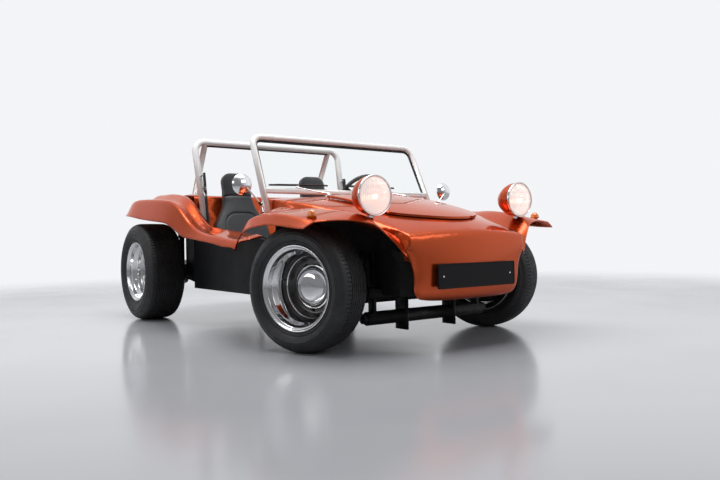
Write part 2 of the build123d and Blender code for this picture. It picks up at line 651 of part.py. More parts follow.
def fan_shroud():
    """Upright cooling shroud with the round fan housing and the belt pulleys."""
    shroud = block((-1215, -1110), (-330, 330), (440, 560))
    arch = Plane((-1215, 0, 0), x_dir=(0, 1, 0), z_dir=(1, 0, 0))
    outline = arch * make_face(Line((-330, 560), (330, 560)) + Line((330, 560), (190, 740))
                               + ThreePointArc((190, 740), (0, 800), (-190, 740))
                               + Line((-190, 740), (-330, 560)))
    shroud += extrude(outline, amount=105)
    dynamo = disc((-1215, 0, 640), 48, 130, (-1, 0, 0))
    wheel = disc((-1345, 0, 640), 62, 22, (-1, 0, 0))
    crank = disc((ENGINE_REAR_X, 0, 330), 86, 24, (-1, 0, 0))
    return Compound(children=[shroud + dynamo + wheel, crank])


PIPE_END_X = -1550.0
PIPE_Z = 262.0
PIPE_R = 20.0
PIPE_BORE_R = 17.0
PIPE_BORE = 60.0


def exhaust():
    """Cross silencer behind the engine with two tail pipes."""
    box = disc((-1470, -250, 300), 62, 500, (0, 1, 0))
    for side in (-1, 1):
        box += bar((-1470, side * 170, PIPE_Z), (PIPE_END_X, side * 170, PIPE_Z), PIPE_R)
        box += bent_tube([(-1470, side * 235, 300), (-1440, side * 330, 236), (-1300, side * 330, 236),
                          (-1300, side * 330, 290)], 19, 24)
    for side in (-1, 1):
        box -= disc((PIPE_END_X, side * 170, PIPE_Z), PIPE_BORE_R, PIPE_BORE, (1, 0, 0))
    return box


# ---------------------------------------------------------------- cockpit
def roll_bar():
    """Main hoop over the seats with two stays back to the deck."""
    top_z = HOOP_TOP - HOOP_R
    hoop = bent_tube([(-375, -558, 640), (-495, -580, top_z), (-495, 580, top_z),
                      (-375, 558, 640)], HOOP_R, 72)
    for side in (-1, 1):
        hoop += bar((-495, side * 500, 1214), (-685.6, side * 500, 876), 20)
        hoop += disc((-690, side * 500, 866.2), 42, 5, (0, 0, 1))
    return hoop


SCREEN_LOW = (510.0, 818.0)
SCREEN_TOP = (360.0, 1156.0)
SCREEN_HALF_TOP = 590.0
SCREEN_HALF_FOOT = 602.0
SCREEN_FOOT = (566.0, 684.0)
CROSS_BAR_R = 16.0
CROSS_BAR_INSET = 2.5         # bar's ends inside the legs' centre lines


def leg_half(z):
    """Half width between the screen frame's leg centres at a height."""
    share = (z - SCREEN_FOOT[1]) / (SCREEN_TOP[1] - SCREEN_TUBE_R - SCREEN_FOOT[1])
    return SCREEN_HALF_FOOT + (SCREEN_HALF_TOP - SCREEN_HALF_FOOT) * share


def screen_frame():
    """Bent tube over the glass with legs down to the fenders, and the lower cross bar."""
    hoop = bent_tube([(SCREEN_FOOT[0], -SCREEN_HALF_FOOT, SCREEN_FOOT[1]),
                      (SCREEN_TOP[0], -SCREEN_HALF_TOP, SCREEN_TOP[1] - SCREEN_TUBE_R),
                      (SCREEN_TOP[0], SCREEN_HALF_TOP, SCREEN_TOP[1] - SCREEN_TUBE_R),
                      (SCREEN_FOOT[0], SCREEN_HALF_FOOT, SCREEN_FOOT[1])], SCREEN_TUBE_R, 65)
    low_x, low_z = SCREEN_LOW
    bar_end = round(leg_half(low_z) - CROSS_BAR_INSET)
    return hoop + bar((low_x, -bar_end, low_z), (low_x, bar_end, low_z), CROSS_BAR_R)


def screen_glass():
    """Flat laminated pane inside the frame."""
    slope = Vector(SCREEN_TOP[0] - SCREEN_LOW[0], 0, SCREEN_TOP[1] - SCREEN_TUBE_R - SCREEN_LOW[1])
    height = slope.length
    facing = slope.normalized().cross(Vector(0, 1, 0)) * -1
    plane = Plane((SCREEN_LOW[0], 0, SCREEN_LOW[1]), x_dir=(0, 1, 0), z_dir=facing)
    low, high = 14.0, height - SCREEN_TUBE_R + 2
    foot, head = SCREEN_HALF_FOOT - 24, SCREEN_HALF_TOP - 18
    pane = Polyline((-foot, low), (foot, low), (head, high), (-head, high), close=True)
    sketch = make_face(pane)
    sketch = fillet(sketch.vertices().group_by(Axis.Y)[-1], 48)
    return Pos(0, 0, 0) * extrude(plane * sketch, amount=3, both=True)


def wipers():
    """Two pivots on the scuttle, their arms and the blades along the glass."""
    out = []
    for pivot, mid, blade in (((693, -282, 786), (560, -420, 838), ((505, -560, 850), (520, -180, 856))),
                              ((693, 282, 786), (560, 130, 838), ((515, -60, 858), (520, 320, 856)))):
        arm = disc(Vector(*pivot) - Vector(0, 0, 8), 14, 22, (0, 0, 1))
        arm += bar(Vector(*pivot) + Vector(0, 0, 8), mid, 4)
        arm += bar(mid, (Vector(*blade[0]) + Vector(*blade[1])) * 0.5, 4)
        arm += bar(blade[0], blade[1], 5)
        out.append(arm)
    return Compound(children=out)


def dashboard():
    """Padded panel across the scuttle's rear edge."""
    return hood_volume(SKIN, 200) & block((434, 450), (-560, 560), (640, 830))


SEAT_Y = 310.0
SEAT_HALF = 225.0
SEAT_BACK_X = -330.0          # foot of the back
SEAT_LEAN = 14.0              # degrees
BELT_Y = 560.0


def seat(side):
    """High-back bucket: cushion and tapered back in one moulded pad."""
    lean = math.radians(SEAT_LEAN)
    forward = (math.cos(lean), 0, math.sin(lean))
    back_plane = Plane((SEAT_BACK_X, side * SEAT_Y, 330), x_dir=(0, 1, 0), z_dir=forward)
    right_half = [(SEAT_HALF, 0, 0), (SEAT_HALF, 290, 0), (130, 455, 0), (118, 560, 0), (110, 704, 0)]
    left_half = [(-u, v, 0) for u, v, _ in reversed(right_half)]
    radii = [30, 110, 120, 200, 70]
    outline = rounded_wire(right_half + left_half, radii + radii[::-1])
    back = extrude(back_plane * Face(outline), amount=90)
    across = (side * SEAT_Y - SEAT_HALF, side * SEAT_Y + SEAT_HALF)
    cushion = block((SEAT_BACK_X, 150), across, (FLOOR_Z + PLATE, 420))
    cushion = fillet(cushion.edges().group_by(Axis.Z)[-1], 30)
    return back + cushion


def seat_belts():
    """Webbing from the roll bar down to the sill, one each side."""
    out = []
    for side in (-1, 1):
        strap = Polyline((-404, side * BELT_Y, 1000), (-360, side * BELT_Y, 1000), (-300, side * BELT_Y, 600),
                         (-344, side * BELT_Y, 600), close=True)
        web = extrude(Face(Wire(strap.edges())), amount=side * 2.5, dir=(0, 1, 0))
        reel = block((-345, -275), sorted((side * (BELT_Y - 10), side * (BELT_Y + 15))), (540, 600))
        anchor = bar((-384, side * BELT_Y, 985), (-422.7, side * 566.9, 976.6), 6)
        out.append(web + reel + anchor)
    return Compound(children=out)


WHEEL_CENTRE = Vector(215, 290, 790)
COLUMN_TILT = 28.0            # degrees below level, pointing forward
STEER_WHEEL_R = 180.0


def column_axis():
    """The column's direction, forward and down."""
    return Vector(math.cos(math.radians(COLUMN_TILT)), 0, -math.sin(math.radians(COLUMN_TILT)))


def steering_wheel():
    """Thin rim, three flat spokes and a round hub."""
    plane = Plane(WHEEL_CENTRE, x_dir=(0, 1, 0), z_dir=column_axis() * -1)
    wheel = plane * Torus(STEER_WHEEL_R, 13)
    wheel += plane * Pos(0, 0, -38) * Cylinder(38, 30)
    for angle in (90, 210, 330):
        spoke = Pos(STEER_WHEEL_R / 2 + 14, 0, -16) * Rot(0, -12, 0) * Box(STEER_WHEEL_R - 24, 26, 4)
        wheel += plane * Rot(0, 0, angle) * spoke
    return wheel


def steering_column():
    """Tube from under the wheel's boss to the bulkhead."""
    axis = column_axis()
    start = WHEEL_CENTRE + axis * (53 + RUNNING_GAP)
    reach = (BULKHEAD_X - start.X) / axis.X
    return disc(start, 24, reach - 14, axis)


def controls():
    """Gear lever, hand brake and the pedal cluster."""
    lever = bar((100, 0, TUNNEL_TOP), (70, 0, 560), 6) + Pos(68, 0, 570) * Sphere(24)
    brake = bar((-60, 0, TUNNEL_TOP + 7), (60, 0, 440), 11)
    pedals = Part()
    for y in (190, 275, 360):
        pedals += block((560, 568), (y - 28, y + 28), (330, 400))
        pedals += bar((575, y, FLOOR_Z), (564, y, 365), 7)
    return Compound(children=[lever, brake] + list(pedals.solids()))


# ---------------------------------------------------------------- lamps and small pieces
LAMP_CENTRE = Vector(1389, 494, 738)
LENS_R = 89.0
RING_R = 95.0
BUCKET_R = 93.0


def headlamp(side):
    """Bullet bucket on a short stalk, with its trim ring; the glass is a piece of its own."""
    x, y, z = LAMP_CENTRE.X, side * LAMP_CENTRE.Y, LAMP_CENTRE.Z
    half = make_face(Line((0, 0), (BUCKET_R, 0)) + ThreePointArc((BUCKET_R, 0), (88, 45), (66, 85))
                     + dome_arc(66, 85, 125) + Line((0, 125), (0, 0)))
    bucket = Pos(x - 8, y, z) * Rot(0, 0, 90) * revolve(half, axis=Axis.Y)
    bucket += disc((x - 8, y, z), RING_R, 10, (1, 0, 0))
    bucket -= disc((x - 4, y, z), LENS_R - 4, 20, (1, 0, 0))
    stalk = bar((x - 45, y, z - 70), (x - 31, y, 585), 13)
    return bucket + stalk


def headlamp_glasses():
    """Domed fluted glasses, seated in the trim rings."""
    out = []
    glass_r = LENS_R - 4
    for side in (-1, 1):
        half = make_face(Line((0, 0), (glass_r, 0)) + dome_arc(glass_r, 0, 20) + Line((0, 20), (0, 0)))
        lens = Rot(0, 0, -90) * revolve(half, axis=Axis.Y)
        out.append(Pos(LAMP_CENTRE.X - 4, side * LAMP_CENTRE.Y, LAMP_CENTRE.Z) * lens)
    return Compound(children=out)


INDICATOR = Vector(1268, 762, 642)


def indicators():
    """Domed lenses, each on a round foot."""
    out = []
    x, z = INDICATOR.X, INDICATOR.Z
    for side in (-1, 1):
        y = side * INDICATOR.Y
        dome = Pos(x, y, z) * scale(Sphere(1), by=(28, 20, 34))
        dome -= block((x - 68, x + 72), (y - 60, y + 60), (z - 42, z))
        out.append(dome + Pos(x, y, z - 8) * Cylinder(16, 18))
    return Compound(children=out)


MIRROR_R = 57.0
MIRROR_REACH = 135.0          # head's centre outside the screen's legs
MIRROR_CLAMP_OUT = 20.0


def mirrors():
    """Round heads on thin arms, each clamped to a leg of the screen frame."""
    out = []
    for side in (-1, 1):
        head = Vector(530, side * (SCREEN_HALF_FOOT + MIRROR_REACH), 845)
        bowl = make_face(Line((0, 0), (MIRROR_R, 0)) + dome_arc(MIRROR_R, 0, 30) + Line((0, 30), (0, 0)))
        piece = Pos(*head) * Rot(0, 0, -90) * revolve(bowl, axis=Axis.Y)
        clamp = Vector(552, side * (SCREEN_HALF_FOOT + MIRROR_CLAMP_OUT), 722)
        piece += bar(head + Vector(14, 0, 0), clamp, 5)
        piece += bar(clamp - Vector(0, side * 4, 26), clamp + Vector(-16, -side * 4, 26), 10)
        out.append(piece)
    return Compound(children=out)


PLATE_FACE_X = 1550.0         # the car's foremost plane
PLATE_HALF = 258.0


def number_plate():
    """Blank plate holder on the face of the nose."""
    return block((PLATE_FACE_X - 10.5, PLATE_FACE_X), (-PLATE_HALF, PLATE_HALF), (300, 417))


# ---------------------------------------------------------------- build every node
def both_sides(shape):
    """The left-hand piece and its mirror image."""
    return Compound(children=[shape, mirrored(shape)])


def build():
    """Every node by name."""
    nose_piece, deck = nose(), rear_deck()
    fender, skin = fender_front() - nose_piece, body_side()
    deck = deck - skin - mirrored(skin)
    fenders = fender + mirrored(fender)
    frame, hoop, pan = screen_frame() - fenders, roll_bar(), floor_pan()
    beam, column = front_beam(), steering_column()
    arms = trailing_arms() - beam
    dampers = front_dampers() - arms - beam
    nodes = {
        "floor_pan": pan, "side_panels": both_sides(side_panel() - deck), "front_liner": front_liner(),
        "front_axle_beam": beam, "front_suspension": Compound(children=arms.solids() + dampers.solids()),
        "rear_suspension": rear_suspension(), "gearbox": gearbox(), "engine_block": engine_block(),
        "fan_shroud": fan_shroud(), "exhaust": exhaust(), "nose": nose_piece, "bonnet_lid": bonnet_lid(),
        "rear_deck": deck, "dashboard": dashboard() - column, "windscreen_frame": frame,
        "windscreen_glass": screen_glass() - frame, "wipers": wipers(), "roll_bar": hoop,
        "seat_belts": seat_belts() - hoop, "headlamps": seated(both_sides(headlamp(1)), fenders),
        "headlamp_glasses": headlamp_glasses(), "mirrors": seated(mirrors(), frame),
        "indicators": seated(indicators(), fenders), "number_plate": number_plate(),
        "tail_lamps": tail_lamps(), "steering_column": column, "steering_wheel": steering_wheel(),
        "hand_and_foot_controls": seated(controls(), pan), "track_rod": track_rod(),
    }
    front_out = Pos(0, FRONT_RIM_OUT, 0)
    front_rim, front_tyre = front_wheel(), tyre(FRONT_TYRE_R, FRONT_TYRE_W, FRONT_RIM_W)
    rear_rim, rear_tyre = rear_wheel(), tyre(REAR_TYRE_R, REAR_TYRE_W, REAR_RIM_W)
    for name, side in (("right", -1), ("left", 1)):
        nodes[f"fender_front_{name}"] = fender if side > 0 else mirrored(fender)
        nodes[f"body_side_{name}"] = skin if side > 0 else mirrored(skin)
        nodes[f"seat_{name}"] = seat(side)
        nodes[f"knuckle_{name}"] = knuckle(side)
        nodes[f"wheel_front_{name}"] = at_front(front_out * front_rim, side)
        nodes[f"tyre_front_{name}"] = at_front(front_out * front_tyre, side)
        nodes[f"wheel_rear_{name}"] = at_rear(rear_rim, side)
        nodes[f"tyre_rear_{name}"] = at_rear(rear_tyre, side)
    return nodes


for node_name, node_shape in build().items():
    export_step(node_shape, f"parts/{node_name}.step")
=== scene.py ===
import math

import bmesh
import bpy
from mathutils import Matrix, Vector


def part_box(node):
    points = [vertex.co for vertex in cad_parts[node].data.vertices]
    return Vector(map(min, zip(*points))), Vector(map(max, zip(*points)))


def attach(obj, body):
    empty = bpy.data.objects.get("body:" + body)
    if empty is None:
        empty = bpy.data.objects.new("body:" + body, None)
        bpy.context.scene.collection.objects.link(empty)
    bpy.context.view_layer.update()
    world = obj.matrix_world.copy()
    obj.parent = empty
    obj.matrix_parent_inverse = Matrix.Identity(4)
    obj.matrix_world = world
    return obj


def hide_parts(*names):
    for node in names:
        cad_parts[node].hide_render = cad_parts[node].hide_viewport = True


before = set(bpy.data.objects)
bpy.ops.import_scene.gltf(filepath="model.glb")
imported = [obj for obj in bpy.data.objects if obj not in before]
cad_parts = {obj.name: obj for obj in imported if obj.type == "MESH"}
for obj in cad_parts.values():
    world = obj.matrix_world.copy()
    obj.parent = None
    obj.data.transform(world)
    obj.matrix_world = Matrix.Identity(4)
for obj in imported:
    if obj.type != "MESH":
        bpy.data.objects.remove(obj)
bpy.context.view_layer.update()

scene = bpy.context.scene
scene.view_settings.view_transform = "Standard"

# ---------- camera
# A knee-high view from the car's front right corner, with a slightly wide lens held a little
# out of level.
CAMERA_PLACE = Vector((3.857, -2.385, 0.537))
CAMERA_YAW, CAMERA_PITCH, CAMERA_ROLL = 2.5113, -0.0008, -0.018
FOCAL_MM, SENSOR_MM = 33.97, 36.0


def standing(across, along, outward, place):
    """The matrix that lays a thing's own X, Y and Z along three directions, at a place."""
    return Matrix.Translation(place) @ Matrix((across, along, outward)).transposed().to_4x4()


ahead = Vector((math.cos(CAMERA_PITCH) * math.cos(CAMERA_YAW), math.cos(CAMERA_PITCH) * math.sin(CAMERA_YAW),
    math.sin(CAMERA_PITCH)))
level_right = Vector((math.sin(CAMERA_YAW), -math.cos(CAMERA_YAW), 0))
level_up = level_right.cross(ahead)
right = level_right * math.cos(CAMERA_ROLL) + level_up * math.sin(CAMERA_ROLL)
up = level_up * math.cos(CAMERA_ROLL) - level_right * math.sin(CAMERA_ROLL)
lens = bpy.data.cameras.new("camera")
lens.lens, lens.sensor_width, lens.sensor_fit = FOCAL_MM, SENSOR_MM, "HORIZONTAL"
camera = bpy.data.objects.new("camera", lens)
camera.matrix_world = standing(right, up, -ahead, CAMERA_PLACE)
scene.collection.objects.link(camera)
scene.camera = camera


# ---------- floor, backdrop and lamps
# Smooth pale resin floor that keeps a soft reflection, fading into a white surround, under
# broad ceiling panels.
def show(shape, name, material, smooth=True, crease=None):
    """Links a bmesh as a piece with one material; edges sharper than crease stay sharp."""
    mesh = bpy.data.meshes.new(name)
    shape.to_mesh(mesh)
    shape.free()
    piece = bpy.data.objects.new(name, mesh)
    scene.collection.objects.link(piece)
    mesh.materials.append(material)
    mesh.polygons.foreach_set("use_smooth", [smooth] * len(mesh.polygons))
    if crease:
        mesh.set_sharp_from_angle(angle=math.radians(crease))
    return piece


def combined(tree, operation, first, second):
    """Two values worked into one."""
    node = tree.nodes.new("ShaderNodeMath")
    node.operation = operation
    tree.links.new(first, node.inputs[0])
    tree.links.new(second, node.inputs[1])
    return node.outputs[0]


def spread(tree, value, low, high, start=0.0, end=1.0):
    """A node that runs from low to high while the value runs from start to end."""
    node = tree.nodes.new("ShaderNodeMapRange")
    for socket, number in (("From Min", start), ("From Max", end), ("To Min", low), ("To Max", high)):
        node.inputs[socket].default_value = number
    tree.links.new(value, node.inputs["Value"])
    return node


def pattern(material, kind, scale, **settings):
    """A Noise, Voronoi or Wave texture over object coordinates."""
    tree = material.node_tree
    node = tree.nodes.new("ShaderNodeTex" + kind)
    node.inputs["Scale"].default_value = scale
    for socket, number in settings.items():
        node.inputs[socket].default_value = number
    tree.links.new(tree.nodes["Texture Coordinate"].outputs["Object"], node.inputs["Vector"])
    return node


def blend_colours(material, factor, low, high, start=0.35, end=0.65):
    """Base colour that runs from low to high with a pattern."""
    tree = material.node_tree
    ramp = tree.nodes.new("ShaderNodeValToRGB")
    for stop, place, colour in zip(ramp.color_ramp.elements, (start, end), (low, high)):
        stop.position, stop.color = place, (*colour, 1)
    tree.links.new(factor, ramp.inputs["Fac"])
    tree.links.new(ramp.outputs["Color"], tree.nodes["Principled BSDF"].inputs["Base Color"])


def blend_rough(material, factor, low, high):
    """Roughness that varies from low to high with a pattern."""
    tree = material.node_tree
    result = spread(tree, factor, low, high, 0.3, 0.7).outputs["Result"]
    tree.links.new(result, tree.nodes["Principled BSDF"].inputs["Roughness"])


def raise_grain(material, factor, strength, depth):
    """Bump from a pattern, depth in metres."""
    tree = material.node_tree
    bump = tree.nodes.new("ShaderNodeBump")
    bump.inputs["Strength"].default_value, bump.inputs["Distance"].default_value = strength, depth
    tree.links.new(factor, bump.inputs["Height"])
    tree.links.new(bump.outputs["Normal"], tree.nodes["Principled BSDF"].inputs["Normal"])


def finish(name, colour, metallic=0.0, rough=0.5, coat=0.0, colours=None, roughs=None, grain=None,
        sockets=None):
    """A material. Noises vary it: colours, roughs and grain hold the noise's scale and detail, then
    what the three functions above take; sockets holds further values of the shader."""
    material = bpy.data.materials.new(name)
    material.use_nodes = True
    nodes = material.node_tree.nodes
    nodes.new("ShaderNodeTexCoord")
    values = {"Base Color": (*colour, 1), "Metallic": metallic, "Roughness": rough, "Coat Weight": coat,
        "Coat Roughness": 0.04}
    for socket, value in (values | (sockets or {})).items():
        nodes["Principled BSDF"].inputs[socket].default_value = value
    for vary, spec in ((blend_colours, colours), (blend_rough, roughs), (raise_grain, grain)):
        if spec:
            noise = pattern(material, "Noise", spec[0], Detail=spec[1], Roughness=0.55)
            vary(material, noise.outputs["Fac"], *spec[2:])
    return material


FLOOR_R, FADE_NEAR, FADE_FAR = 30.0, 3.6, 7.4
WALL_WHITE, WALL_LEVEL, SURROUND_LEVEL = (0.965, 0.975, 1.0, 1), 0.93, 0.24
resin = finish("floor_resin", (0.47, 0.48, 0.51), rough=0.16, roughs=(1.3, 3, 0.12, 0.2),
    colours=(0.5, 3, (0.45, 0.46, 0.49), (0.5, 0.51, 0.54)))
tree = resin.node_tree
away = tree.nodes.new("ShaderNodeVectorMath")
away.operation = "LENGTH"
tree.links.new(tree.nodes["Texture Coordinate"].outputs["Object"], away.inputs[0])
fade = spread(tree, away.outputs["Value"], 0.0, 1.0, FADE_NEAR, FADE_FAR)
fade.interpolation_type = "SMOOTHSTEP"
rays = tree.nodes.new("ShaderNodeLightPath").outputs
looked_at = combined(tree, "MAXIMUM", rays["Is Camera Ray"], rays["Is Transmission Ray"])
white = tree.nodes.new("ShaderNodeEmission")
white.inputs["Color"].default_value, white.inputs["Strength"].default_value = WALL_WHITE, WALL_LEVEL
ground = tree.nodes.new("ShaderNodeMixShader")
tree.links.new(combined(tree, "MULTIPLY", fade.outputs["Result"], looked_at), ground.inputs["Fac"])
tree.links.new(tree.nodes["Principled BSDF"].outputs["BSDF"], ground.inputs[1])
tree.links.new(white.outputs["Emission"], ground.inputs[2])
tree.links.new(ground.outputs["Shader"], tree.nodes["Material Output"].inputs["Surface"])
work = bmesh.new()
bmesh.ops.create_circle(work, cap_ends=True, cap_tris=False, segments=96, radius=FLOOR_R)
floor = show(work, "floor", resin)

# white walls behind and beside the car; the near end of the hall, seen only in gloss, is dimmer
NEAR_END, HALL_BRIGHT, HALL_DIM = (0.42, -0.84, -0.35), 0.95, 0.1
world = bpy.data.worlds.new("surround")
scene.world = world
world.use_nodes = True
tree = world.node_tree
rays = tree.nodes.new("ShaderNodeLightPath").outputs
seen = combined(tree, "MAXIMUM", rays["Is Camera Ray"], rays["Is Transmission Ray"])
towards = tree.nodes.new("ShaderNodeVectorMath")
towards.operation = "DOT_PRODUCT"
towards.inputs[1].default_value = NEAR_END
tree.links.new(tree.nodes.new("ShaderNodeTexCoord").outputs["Generated"], towards.inputs[0])
hall = spread(tree, towards.outputs["Value"], HALL_BRIGHT, HALL_DIM, -0.45, 0.6).outputs["Result"]
in_gloss = combined(tree, "MULTIPLY", rays["Is Glossy Ray"], hall)
level = spread(tree, seen, SURROUND_LEVEL, WALL_LEVEL).outputs["Result"]
surround = tree.nodes["Background"]
surround.inputs["Color"].default_value = WALL_WHITE
tree.links.new(combined(tree, "MAXIMUM", level, in_gloss), surround.inputs["Strength"])


def ceiling_panel(name, place, aim, width, length, power):
    """A soft rectangular lamp."""
    lamp = bpy.data.lights.new(name, "AREA")
    lamp.shape, lamp.size, lamp.size_y, lamp.energy = "RECTANGLE", width, length, power
    holder = bpy.data.objects.new(name, lamp)
    holder.location = place
    holder.rotation_euler = (Vector(aim) - Vector(place)).to_track_quat("-Z", "Y").to_euler()
    scene.collection.objects.link(holder)


ceiling_panel("lamp_over", (0.4, -0.6, 4.2), (0.1, -0.1, 0.4), 4.2, 2.4, 190)
ceiling_panel("lamp_front", (4.6, 0.8, 2.6), (0.9, 0, 0.5), 2.6, 1.6, 25)
ceiling_panel("lamp_side", (-0.5, -5.0, 2.4), (0, -0.4, 0.5), 3.6, 1.4, 34)

# ---------- moulded body
# Glass-fibre shell in metallic copper lacquer under clear coat: nose, front fenders, sills with
# the rear fenders, rear deck and the bonnet lid, each laid up by itself and bonded edge to edge.
PANEL_EDGE, FAIRING_PASSES, CREST_SOFT = 0.016, 5, 59
NOSE_FACE_X, ARCH_LOW, ARCH_HIGH, ARCH_INNER_Y = 1.447, 0.38, 0.535, 0.3
body_paint = finish("copper_lacquer", (0.5, 0.07, 0.014), metallic=0.8, rough=0.24, coat=0.6,
    colours=(2600, 1, (0.41, 0.052, 0.011), (0.6, 0.092, 0.018)), grain=(2600, 1, 0.1, 0.0002),
    sockets={"Specular Tint": (1.0, 0.46, 0.3, 1), "Coat IOR": 1.36})
stone_coat = finish("stone_guard_coat", (0.01, 0.01, 0.0105), rough=0.78,
    colours=(16, 5, (0.0085, 0.0085, 0.009), (0.022, 0.02, 0.018), 0.45, 0.8), grain=(230, 4, 0.7, 0.0012),
    sockets={"Specular IOR Level": 0.25})


def fair_copy(node, crease, even=None, soft=None):
    """The CAD node's own shape, merged; even splits its long edges and fairs its curved faces, and
    edges up to the soft angle roll over instead of staying sharp."""
    work = bmesh.new()
    work.from_mesh(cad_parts[node].data)
    bmesh.ops.remove_doubles(work, verts=work.verts, dist=0.00002)
    if even:
        for _ in range(3):
            long_edges = [e for e in work.edges if e.calc_length() > 1.5 * even]
            bmesh.ops.subdivide_edges(work, edges=long_edges, cuts=1)
            bmesh.ops.triangulate(work, faces=[f for f in work.faces if len(f.verts) > 3])
            flat = [e for e in work.edges if len(e.link_faces) == 2 and e.calc_face_angle(0) < 0.12]
            bmesh.ops.beautify_fill(work, faces=work.faces[:], edges=flat)
        sharp = math.radians(soft or crease)
        held = {v for e in work.edges if len(e.link_faces) != 2 or e.calc_face_angle(0) > sharp
            for v in e.verts}
        free = [v for v in work.verts if v not in held]
        for _ in range(FAIRING_PASSES):
            bmesh.ops.smooth_vert(work, verts=free, factor=0.5, use_axis_x=True, use_axis_y=True,
                use_axis_z=True)
    return work


def dress(node, material, crease=32, body="car", even=None, soft=None):
    """Stands a smooth copy in for a CAD node and gives it its finish."""
    piece = show(fair_copy(node, crease, even, soft), node + ".shell", material, crease=crease)
    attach(piece, body)
    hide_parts(node)
    return piece


def paint_where(piece, material, chosen):
    """A second finish on the faces that the rule picks by their centre."""
    piece.data.materials.append(material)
    last = len(piece.data.materials) - 1
    for face in piece.data.polygons:
        if chosen(face.center):
            face.material_index = last


def behind_nose(centre):
    """True on the nose's returns into the wheel arches."""
    return centre.x < NOSE_FACE_X and ARCH_LOW < centre.z < ARCH_HIGH and abs(centre.y) > ARCH_INNER_Y


nose = dress("nose", body_paint, even=PANEL_EDGE, soft=CREST_SOFT)
paint_where(nose, stone_coat, behind_nose)
for node in ("fender_front_right", "fender_front_left", "body_side_right", "body_side_left", "rear_deck"):
    dress(node, body_paint, even=PANEL_EDGE)
dress("bonnet_lid", body_paint, body="lid", even=PANEL_EDGE)

# ---------- front wheels
# Deep chromed steel rims with a black slotted centre, a domed chrome cap over the hub and the
# brake drum behind; riveted and welded together, held by five nuts under the cap.
FRONT_AXLE_X, KINGPIN_Y, FRONT_HUB_Z = 1.006, 0.53, 0.31
PARKED_STEER, RIM_OUT, FRONT_RIM_WIDE, FRONT_DISC_Y = 18.7, 0.23, 0.175, -0.148
FLANGE_R, BEAD_SEAT_R, DROP_R = 0.2075, 0.1905, 0.17
SIDES = ((-1, "right"), (1, "left"))
chrome = finish("bright_chrome", (0.8, 0.8, 0.81), metallic=1.0, rough=0.07, roughs=(22, 3, 0.04, 0.12))
wheel_black = finish("wheel_black_enamel", (0.012, 0.012, 0.013), rough=0.28, coat=0.6,
    grain=(420, 3, 0.2, 0.0003))
drum_iron = finish("drum_iron", (0.05, 0.047, 0.045), metallic=0.7, rough=0.6, grain=(300, 3, 0.4, 0.0005),
    colours=(60, 3, (0.035, 0.033, 0.032), (0.09, 0.075, 0.06)))


def spun(profile, steps=96, closed=True):
    """A turned piece about +Y from its (radius, y) half section."""
    work = bmesh.new()
    verts = [work.verts.new((r, y, 0)) for r, y in profile]
    for a, b in zip(verts, verts[1:] + verts[:1] if closed else verts[1:]):
        work.edges.new((a, b))
    bmesh.ops.spin(work, geom=work.verts[:] + work.edges[:], cent=(0, 0, 0), axis=(0, 1, 0), angle=math.tau,
        steps=steps, use_merge=True)
    bmesh.ops.remove_doubles(work, verts=work.verts, dist=0.00001)
    bmesh.ops.recalc_face_normals(work, faces=work.faces)
    return work


def joined(shapes):
    """Several bmesh shapes as one."""
    whole = bmesh.new()
    for shape in shapes:
        mesh = bpy.data.meshes.new("part")
        shape.to_mesh(mesh)
        shape.free()
        whole.from_mesh(mesh)
        bpy.data.meshes.remove(mesh)
    return whole


def moved(shape, matrix):
    """The shape turned and placed by one matrix."""
    bmesh.ops.transform(shape, matrix=matrix, verts=shape.verts)
    return shape


def shift(x, y, z):
    return Matrix.Translation((x, y, z))


def turned(axis, degrees):
    return Matrix.Rotation(math.radians(degrees), 4, axis)


def ring_of(count, first, make):
    """Shapes made at even turns about Y, the first one turned by that share of a step."""
    return joined([make(Matrix.Rotation(math.tau * (k + first) / count, 4, "Y")) for k in range(count)])


def rod(start, end, radius, segments=16, end_radius=None):
    """A straight round bar between two points."""
    start, end = Vector(start), Vector(end)
    work = bmesh.new()
    turn = (end - start).to_track_quat("Z", "Y").to_matrix().to_4x4()
    bmesh.ops.create_cone(work, cap_ends=True, segments=segments, radius1=radius,
        radius2=radius if end_radius is None else end_radius, depth=(end - start).length,
        matrix=Matrix.Translation((start + end) / 2) @ turn)
    return work


def front_place(side):
    """Where a front wheel stands, from its own axis along +Y with the rim's outer plane at 0."""
    turn = turned("Z", PARKED_STEER + (180 if side < 0 else 0))
    return shift(FRONT_AXLE_X, side * KINGPIN_Y, FRONT_HUB_Z) @ turn @ shift(0, RIM_OUT, 0)


def deep_rim(width):
    """Drop-centre barrel with rolled flanges and a step in the dish."""
    lip_r, step_r = FLANGE_R - 0.001, BEAD_SEAT_R - 0.001
    outside = [(lip_r, -0.0065), (BEAD_SEAT_R, -0.012), (step_r, -0.046), (DROP_R, -0.062),
        (DROP_R, -width + 0.062), (step_r, -width + 0.046), (BEAD_SEAT_R, -width + 0.012),
        (lip_r, -width + 0.0065), (FLANGE_R, -width + 0.002)]
    inside = [(FLANGE_R - 0.004, -width), (0.185, -width + 0.014), (0.1838, -width + 0.043),
        (0.165, -width + 0.058), (0.165, -0.066), (0.1668, -0.06), (0.1775, -0.052), (0.1795, -0.046),
        (0.1815, -0.044), (0.1838, -0.036), (0.1848, -0.018), (0.1862, -0.0135), (0.1905, -0.0105),
        (0.1965, -0.0075), (0.1985, -0.003), (0.2005, -0.0008), (0.2035, 0.0), (0.2062, -0.001),
        (0.2074, -0.0032)]
    return spun(outside + inside, 128)


